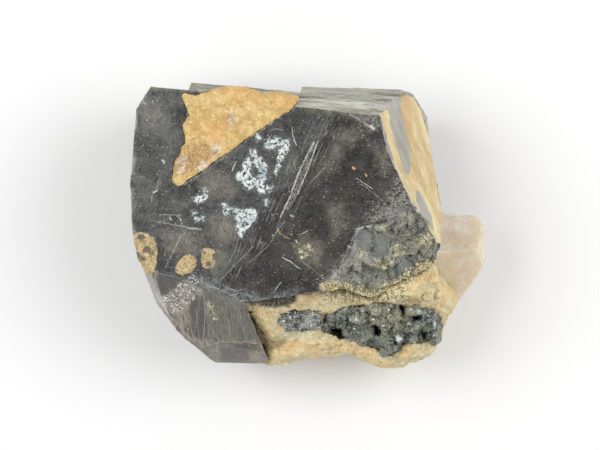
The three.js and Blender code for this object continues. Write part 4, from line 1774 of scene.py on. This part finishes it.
@dataclass
class MainCrystal(StonePiece):
    """The scheelite crystal with its rough break, worn ridges and striped sides.

    Attributes:
        break_relief: The height of the rough break's coarse facets.
        break_grain: The width of those facets.
        side_relief: The roughness of the broken sides and the base's rim.
        side_grain: The width of that roughness.
        stripe_relief: The depth of the growth lines on the back slope.
        stripe_width: The width of those lines.
        ridge_wear: The most that a ridge is worn down.
        ridge_grain: The length of the worn stretches.
        above_height: The height under which the stone belongs to its sides.
        foot_height: The height under which the sides grow rough all over.
        base_height: The height under which the flat base stays as it is.
        patch_width: The width of the broken patches on the sides.
        film_width: The width of the patches of clay there.
        patch_depth: The depth of such a patch's middle.
    """

    break_relief: float = 0.17
    break_grain: float = 1.5
    side_relief: float = 0.12
    side_grain: float = 1.1
    stripe_relief: float = 0.12
    stripe_width: float = 0.55
    ridge_wear: float = 0.1
    ridge_grain: float = 0.9
    above_height: float = 9.0
    foot_height: float = 6.0
    base_height: float = 0.3
    patch_width: float = 7.0
    film_width: float = 6.0
    patch_depth: float = 1.6

    def is_seen(self, place: Vector, normal: Vector) -> bool:
        """Returns whether a place, in millimetres, is on the upper side that the photograph shows."""
        return normal.z > RULES.seen and place.z > self.above_height

    def shape(self, work: WorkMesh) -> None:
        """Roughens the break, the sides and the ridges.

        Args:
            work: The mesh.
        """
        work.normal_update()
        refine(work, 1, self.in_break)
        work.normal_update()
        ridges = {vertex.index for vertex in ridge_vertices(work)}
        displace(work, self.relief)
        work.verts.index_update()
        for vertex in work.verts:
            if vertex.index in ridges:
                depth = self.ridge_wear * max(0.0, 0.25 + ripple(vertex.co / MM, self.ridge_grain))
                vertex.co -= vertex.normal * depth * MM

    def in_break(self, face: bmesh.types.BMFace) -> bool:
        """Returns whether a face lies in the rough break."""
        place = face.calc_center_median() / MM
        return self.is_seen(place, face.normal) and zone_depth(Zone.BREAK, VIEW.pixel_of(place * MM)) > 0.0

    def relief(self, place: Vector, normal: Vector) -> Vector:
        """Works out the surface's relief.

        Args:
            place: A place, in millimetres.
            normal: The surface's normal there.

        Returns:
            How far the relief moves the place, in millimetres.
        """
        if self.is_seen(place, normal):
            point = VIEW.pixel_of(place * MM)
            depth = zone_depth(Zone.BREAK, point)
            if depth > 0.0:
                facets = facet(place, self.break_grain) + 0.5 * facet(place, self.break_grain * 0.35)
                flat = 1.0 - 0.92 * smooth_step(zone_depth(Zone.SMOOTH, point), -0.1, 0.1)
                return normal * self.break_relief * facets * flat * smooth_step(depth, 0.0, 0.6)
            if zone_depth(Zone.SLOPE, point) > 0.1:
                line = ripple(Vector((place.x * BANDS[0], place.y, place.z)), self.stripe_width)
                return normal * self.stripe_relief * line
            return Vector()
        if normal.z < -0.9 and place.z < self.base_height:
            return Vector()
        broken = smooth_step(ripple(place, self.patch_width), -0.1, 0.5)
        broken += smooth_step(self.foot_height - place.z, 0.0, self.foot_height / 2)
        return normal * self.side_relief * min(1.0, broken) * ripple(place, self.side_grain)

    def mark(self, piece: bpy.types.Object) -> None:
        """Stores how deep each vertex lies inside each zone, and whether it is seen.

        Args:
            piece: The piece.
        """
        vertices = [(vertex.co / MM, vertex.normal) for vertex in piece.data.vertices]
        seen = [self.is_seen(place, normal) for place, normal in vertices]
        set_attribute(piece, Mask.UP.value, [float(value) for value in seen])
        points = [VIEW.pixel_of(place * MM) for place, _ in vertices]
        for zone in self.zones:
            outside = -OUTLINES[zone][0].reach * VIEW.pixel
            depths = [
                zone_depth(zone, point) if above else self.side_depth(zone, place, normal, outside)
                for point, (place, normal), above in zip(points, vertices, seen)
            ]
            set_attribute(piece, zone.value, depths)

    def side_depth(self, zone: Zone, place: Vector, normal: Vector, outside: float) -> float:
        """Works out the depth inside a zone on the sides, where only some of the zones go on.

        Args:
            zone: The zone.
            place: The place, in millimetres.
            normal: The surface's normal there.
            outside: The depth where the zone doesn't go on.

        Returns:
            The depth, in millimetres.
        """
        if zone is Zone.FILM:
            aside = place + Vector((40.0, 0.0, 0.0))
            return self.patch_depth * ripple(aside, self.film_width) + 0.7 * ripple(place, 1.6) - 1.0
        if zone is Zone.BREAK:
            return self.patch_depth * ripple(place, self.patch_width) - 0.8 + 0.25 * max(0.0, 5.0 - place.z)
        if zone is Zone.SLOPE and normal.y > 0.5:
            return 0.35 * (place.z - 7.0) + 1.2 * ripple(place, 2.5)
        return outside


@dataclass
class RockPiece(StonePiece):
    """A granular piece that fills the joint to its neighbours.

    Attributes:
        swell: How far it is widened to close the joints.
        coarse: The width of its coarse grains.
        coarse_relief: Their height.
        fine: The width of its fine grains.
        fine_relief: Their height.
        level: How much of the swelling goes upwards, from 0 to 1.
        side_swell: How far its left side is widened besides.
        stretch: How much wider it is made about its middle.
        hollow: The depth of the hollows inside the deep shade zone's outlines, which are also painted near
            black as shade.
        seam: The line of pixels along which loose crumbs lie.
        crumb_step: How far apart the crumbs lie along it, in pixels.
        crumb_rounds: How many rows of them lie there.
        crumb: The smallest and the largest crumb's radius.
        spread: How far the crumbs stray from the line, in pixels.
    """

    swell: float = 0.32
    coarse: float = 1.2
    coarse_relief: float = 0.25
    fine: float = 0.5
    fine_relief: float = 0.12
    level: float = 1.0
    side_swell: float = 0.0
    stretch: float = 1.0
    hollow: float = 0.0
    seam: Points = ()
    crumb_step: float = 0.35
    crumb_rounds: int = 2
    crumb: tuple[float, float] = (0.1, 0.3)
    spread: float = 3.4

    def cut(self) -> WorkMesh:
        """Returns the CAD node's mesh as small even cells."""
        return even_copy(self.node, self.cell)

    def shape(self, work: WorkMesh) -> None:
        """Widens the piece, covers it with grains and lays crumbs along its seam.

        Args:
            work: The mesh.
        """
        across = [vertex.co.x / MM for vertex in work.verts]
        middle = (min(across) + max(across)) / 2
        displace(work, lambda place, _: Vector(((place.x - middle) * (self.stretch - 1.0), 0.0, 0.0)))
        displace(work, self.relief)
        draw = random.Random(self.node)
        for spot in seam_spots(self.seam, self.crumb_step) * self.crumb_rounds:
            point = (spot[0] + draw.gauss(0.0, self.spread), spot[1] + draw.gauss(0.0, self.spread))
            size = Vector([draw.uniform(*self.crumb) for _ in range(3)]) * MM
            turn = Euler([draw.uniform(0.0, math.tau) for _ in range(3)])
            matrix = Matrix.LocRotScale(place_seen(point) * MM, turn, size)
            bmesh.ops.create_icosphere(work, subdivisions=1, radius=1.0, matrix=matrix)

    def relief(self, place: Vector, normal: Vector) -> Vector:
        """Works out the relief of the grains.

        Args:
            place: A place, in millimetres.
            normal: The surface's normal there.

        Returns:
            How far the relief moves the place, in millimetres.
        """
        out = Vector((normal.x, normal.y, normal.z * self.level)) * self.swell
        out.x -= self.side_swell * smooth_step(-normal.x, 0.2, 0.8)
        bumps = self.coarse_relief * (grain(place, self.coarse) - 0.5)
        bumps += self.fine_relief * (grain(place, self.fine) - 0.5)
        if self.hollow and normal.z > 0.3:
            depth = zone_depth(Zone.BLACK, VIEW.pixel_of(place * MM))
            out.z -= self.hollow * smooth_step(depth, -0.1, 0.35)
        return out + normal * bumps


@dataclass
class FlakyPiece(RockPiece):
    """A rock piece whose upper side is covered with small tilted plates.

    Attributes:
        plates: How many plates it has.
        radius: The smallest and the largest plate's radius.
        thickness: A plate's thickness when its radius is 1.
        taper: The radius of its upper side then.
        sides: How many sides a plate has.
        lean: The most that a plate leans, in radians.
        rim: How far inside the mass's outline the plates start.
        seed: What the plates' places and turns are drawn from.
    """

    plates: int = 600
    radius: tuple[float, float] = (0.25, 0.6)
    thickness: float = 0.5
    taper: float = 0.75
    sides: int = 6
    lean: float = 1.1
    rim: float = 0.35
    seed: int = 5

    def shape(self, work: WorkMesh) -> None:
        """Adds the plates to the widened piece.

        Args:
            work: The mesh.
        """
        super().shape(work)
        work.normal_update()
        draw = random.Random(self.seed)
        middles = [face.calc_center_median() for face in work.faces if face.normal.z > 0.45]
        middles = [middle for middle in middles if self.takes_plate(VIEW.pixel_of(middle))]
        spots = [draw.choice(middles) for _ in range(self.plates)]
        plate = self.plate()
        for spot in spots:
            size = draw.uniform(*self.radius) * MM
            leans = [draw.uniform(-self.lean, self.lean) for _ in range(2)]
            turn = Euler([*leans, draw.uniform(0.0, math.tau)])
            matrix = Matrix.Translation(spot) @ turn.to_matrix().to_4x4() @ Matrix.Scale(size, 4)
            copy = plate.copy()
            copy.transform(matrix)
            work.from_mesh(copy)
            bpy.data.meshes.remove(copy)
        displace(work, lambda place, normal: Vector())

    def takes_plate(self, point: Point) -> bool:
        """Returns whether a plate may lie at a pixel: away from the rim and out of the hollows."""
        inside = zone_depth(Zone.MASS, point) > self.rim and zone_depth(Zone.BLACK, point) < -0.1
        return inside or not self.hollow

    def plate(self) -> bpy.types.Mesh:
        """Makes a plate of radius 1.

        Returns:
            The plate's mesh.
        """
        work = bmesh.new()
        sizes = {"radius1": 1.0, "radius2": self.taper, "depth": self.thickness}
        bmesh.ops.create_cone(work, cap_ends=True, segments=self.sides, **sizes)
        mesh = bpy.data.meshes.new("Plate")
        work.to_mesh(mesh)
        work.free()
        return mesh


@dataclass
class QuartzCrystal(StonePiece):
    """The quartz crystal, with soft ridges and slightly wavy faces.

    Attributes:
        swell: How far it is widened to close the joints.
        joint: Where across the specimen the widening ends.
        wave: The depth of the waves.
        wave_width: Their width.
    """

    swell: float = 0.2
    joint: float = 18.0
    wave: float = 0.12
    wave_width: float = 2.2

    def shape(self, work: WorkMesh) -> None:
        """Softens the crystal's ridges and makes its faces a little uneven.

        Args:
            work: The mesh.
        """
        axes = {"use_axis_x": True, "use_axis_y": True, "use_axis_z": True}
        bmesh.ops.smooth_vert(work, verts=list(ridge_vertices(work)), factor=0.5, **axes)
        displace(work, self.relief)

    def relief(self, place: Vector, normal: Vector) -> Vector:
        """Returns how far the waves move a place, both in millimetres."""
        widened = self.swell * smooth_step(self.joint - place.x, 0.0, 2.0)
        return normal * (widened + self.wave * ripple(place, self.wave_width))


# Studio


@dataclass(frozen=True)
class Softbox:
    """A square soft light that looks at the specimen.

    Attributes:
        name: The light's name.
        at: Where it hangs.
        size: The length of its sides.
        power: Its power in watts.
    """

    name: str
    at: Triple
    size: float
    power: float

    def build(self, target: Vector) -> None:
        """Hangs the light.

        Args:
            target: The place that it looks at, in metres.
        """
        light = bpy.data.lights.new(self.name, "AREA")
        light.shape = "SQUARE"
        light.size = self.size * MM
        light.energy = self.power
        lamp = bpy.data.objects.new(self.name, light)
        lamp.location = Vector(self.at) * MM
        lamp.rotation_euler = (target - lamp.location).to_track_quat("-Z", "Y").to_euler()
        bpy.context.scene.collection.objects.link(lamp)


@dataclass
class Studio:
    """The pale floor, the soft lights, the sky around them and the camera.

    Attributes:
        floor_size: The length of the floor's sides.
        target: What the lights look at.
        sky_top: How bright the room is overhead.
        sky_side: How bright the room is at the sides.
        softboxes: The soft lights.
    """

    floor_size: float = 2400.0
    target: Triple = (0.0, 0.0, 10.0)
    sky_top: float = 0.22
    sky_side: float = 0.92
    softboxes: tuple[Softbox, ...] = (
        Softbox("Left softbox", (-230.0, 60.0, 310.0), 260.0, 0.78),
        Softbox("Right softbox", (230.0, 60.0, 310.0), 260.0, 0.69),
    )

    def build(self) -> None:
        """Sets up the whole studio."""
        self.build_floor()
        self.build_sky()
        for softbox in self.softboxes:
            softbox.build(Vector(self.target) * MM)
        self.build_camera()

    def build_floor(self) -> None:
        """Lays the floor under the specimen."""
        work = bmesh.new()
        bmesh.ops.create_grid(work, x_segments=1, y_segments=1, size=self.floor_size * MM / 2)
        floor = to_object(work, "Floor", 30.0)
        floor.data.materials.append(FloorFinish().material())

    def build_sky(self) -> None:
        """Makes the light from all around, dimmer overhead than at the sides."""
        world = bpy.data.worlds.new("Soft room")
        world.use_nodes = True
        world.node_tree.nodes.clear()
        graph = Graph(world.node_tree)
        direction = graph.add("ShaderNodeTexCoord").outputs["Generated"]
        up = graph.add("ShaderNodeSeparateXYZ", {0: direction}).outputs[2]
        strength = graph.span(up, 0.35, 0.95, self.sky_side, self.sky_top)
        background = graph.add("ShaderNodeBackground", {"Color": (1.0, 1.0, 1.0), "Strength": strength})
        graph.add("ShaderNodeOutputWorld", {"Surface": background.outputs[0]})
        bpy.context.scene.world = world

    def build_camera(self) -> None:
        """Puts the camera where the photograph was taken from."""
        camera = bpy.data.cameras.new("Camera")
        camera.sensor_width = VIEW.sensor
        camera.lens = VIEW.lens
        camera.clip_start = 0.01
        camera.clip_end = 10.0
        holder = bpy.data.objects.new("Camera", camera)
        holder.location = Vector(VIEW.eye) * MM
        bpy.context.scene.collection.objects.link(holder)
        bpy.context.scene.camera = holder
        bpy.context.scene.view_settings.view_transform = "Standard"


# The specimen's finishes and pieces

CLAY = GranularFinish(
    "Ochre clay", dark=(0.50, 0.32, 0.11), light=(0.77, 0.57, 0.26), patch=(0.62, 0.36, 0.13),
    patch_share=0.3, bright=(0.90, 0.76, 0.50), speck=(0.42, 0.24, 0.09), grain_scale=2.3, depth=0.16,
    layers=(
        Layer(Zone.ORANGE, (0.58, 0.32, 0.11), (0.78, 0.48, 0.20), 0.7, ragged=1.6, soft=0.7),
        # Darker brown over the crust's lower tip.
        Layer(Zone.CREVICE, (0.26, 0.16, 0.06), (0.58, 0.38, 0.17), 0.85, ragged=1.6, soft=0.5, clouds=1.2,
              grit=1.2),
        # Glassy grains: partly their own pale colour, partly painted highlights.
        Layer(Zone.GLASSY, (0.30, 0.20, 0.12), (0.84, 0.74, 0.64), 0.8, ragged=1.6, soft=0.2, scale=1.8,
              holes=0.75),
    ),
)
FELDSPAR = GranularFinish(
    "Cream feldspar", dark=(0.50, 0.40, 0.20), light=(0.80, 0.72, 0.47), patch=(0.78, 0.56, 0.28),
    patch_share=0.5, bright=(0.96, 0.93, 0.80), speck=(0.34, 0.29, 0.16), grain_scale=2.4, depth=0.16,
    layers=(
        Layer(Zone.ORANGE, (0.74, 0.50, 0.22), (0.95, 0.76, 0.46), 0.8, ragged=1.6, soft=0.5),
        # Darker brown in the crevices beside the crystal: partly dirt, partly painted shade.
        Layer(Zone.CREVICE, (0.13, 0.10, 0.04), (0.42, 0.36, 0.20), 0.8, ragged=1.4, soft=0.4, holes=0.5,
              grit=1.2),
        Layer(Zone.OLIVE, (0.30, 0.32, 0.26), (0.56, 0.56, 0.44), 0.5, ragged=1.4, soft=0.6, holes=0.5),
        Layer(Zone.CLAY, (0.17, 0.14, 0.06), (0.78, 0.69, 0.42), 0.85, ragged=1.8, soft=0.5, clouds=1.8,
              grit=2.4),
        # Painted shade: near black in the strip under the crystal's overhang.
        Layer(Zone.BLACK, (0.004, 0.004, 0.003), (0.16, 0.15, 0.13), 0.95, ragged=1.2, soft=0.3, grit=2.6),
    ),
)
CHLORITE = GlitterFinish(
    "Dark chlorite", dark=(0.020, 0.028, 0.024), light=(0.260, 0.280, 0.230), stain=(0.31, 0.31, 0.21),
    painted_glint=(0.72, 0.76, 0.72), ior=1.62, rough=0.16, painted_glint_share=0.06,
    layers=(
        Layer(Zone.OLIVE, (0.12, 0.11, 0.06), (0.42, 0.39, 0.27), 0.7, ragged=2.0, soft=0.8, grit=1.0),
        # Painted shade: near black in the hollows.
        Layer(Zone.BLACK, (0.002, 0.003, 0.003), (0.020, 0.022, 0.020), 0.95, ragged=0.8, soft=0.25),
        # Painted highlights: pale glints on some faces.
        Layer(Zone.GLINT, (0.55, 0.60, 0.56), (0.90, 0.92, 0.88), 0.9, ragged=0.9, soft=0.15, scale=2.0,
              holes=0.5),
    ),
)
MICA = GlitterFinish(
    "Gray mica", dark=(0.008, 0.012, 0.011), light=(0.36, 0.37, 0.34), stain=(0.10, 0.11, 0.09),
    painted_glint=(0.95, 0.96, 0.94), ior=1.6, rough=0.2, painted_glint_share=0.34, painted_glint_scale=3.6,
)


def specimen() -> tuple[tuple[StonePiece, Finish], ...]:
    """Lists the pieces of the specimen.

    Returns:
        The pieces, each with its finish.
    """
    painted = [layer.zone for layer in STONE_LAYERS]
    crystal = MainCrystal(
        "scheelite_crystal", "main_crystal", "scheelite", cell=1.3, cuts=2, sharp=14.0, worn=True,
        zones=tuple(dict.fromkeys(painted + [Zone.RIGHT, Zone.HAIR, Zone.DUSTY])),
    )
    crust = RockPiece(
        "ochre_crust", "clay_crust", "ochre_clay", cell=0.22, cuts=0, sharp=50.0,
        zones=(Zone.ORANGE, Zone.GLASSY, Zone.CREVICE),
        coarse=0.9, coarse_relief=0.2, fine=0.42, fine_relief=0.14, level=0.0,
    )
    matrix = RockPiece(
        "feldspar_matrix", "matrix_rock", "feldspar", cell=0.25, cuts=0, sharp=50.0,
        zones=(Zone.ORANGE, Zone.CREVICE, Zone.OLIVE, Zone.BLACK, Zone.CLAY),
        coarse=1.3, coarse_relief=0.35, fine=0.55, fine_relief=0.2, side_swell=0.55,
        seam=BREAK_SEAM, crumb=(0.04, 0.2),
    )
    chlorite = FlakyPiece(
        "chlorite_mass", "chlorite_crystals", "chlorite", cell=0.3, cuts=0, sharp=35.0,
        zones=(Zone.OLIVE, Zone.BLACK, Zone.GLINT),
        coarse=2.0, coarse_relief=1.3, fine=0.8, fine_relief=0.35, level=0.3, hollow=1.6,
        plates=260, radius=(0.25, 0.7), thickness=0.9, seed=5,
    )
    mica = FlakyPiece(
        "mica_lens", "mica_flakes", "mica", cell=0.3, cuts=0, sharp=20.0,
        coarse=0.8, coarse_relief=0.2, fine=0.4, fine_relief=0.12, level=0.3, stretch=1.07,
        seam=BAR_RIM, crumb=(0.08, 0.26), spread=0.7,
        plates=420, radius=(0.12, 0.32), thickness=0.4, seed=9,
    )
    quartz = QuartzCrystal(
        "quartz_crystal", "quartz_point", "quartz", cell=1.0, cuts=2, sharp=40.0, worn=True
    )
    return (
        (crystal, ScheeliteFinish()),
        (crust, CLAY),
        (matrix, FELDSPAR),
        (chlorite, CHLORITE),
        (mica, MICA),
        (quartz, QuartzFinish()),
    )


def main() -> None:
    """Builds the specimen and the studio around it."""
    logging.basicConfig(level=logging.INFO, format="%(name)s: %(message)s")
    for part, finish in specimen():
        part.dress(part.build(), finish)
    Studio().build()


if __name__ == "__main__":
    main()
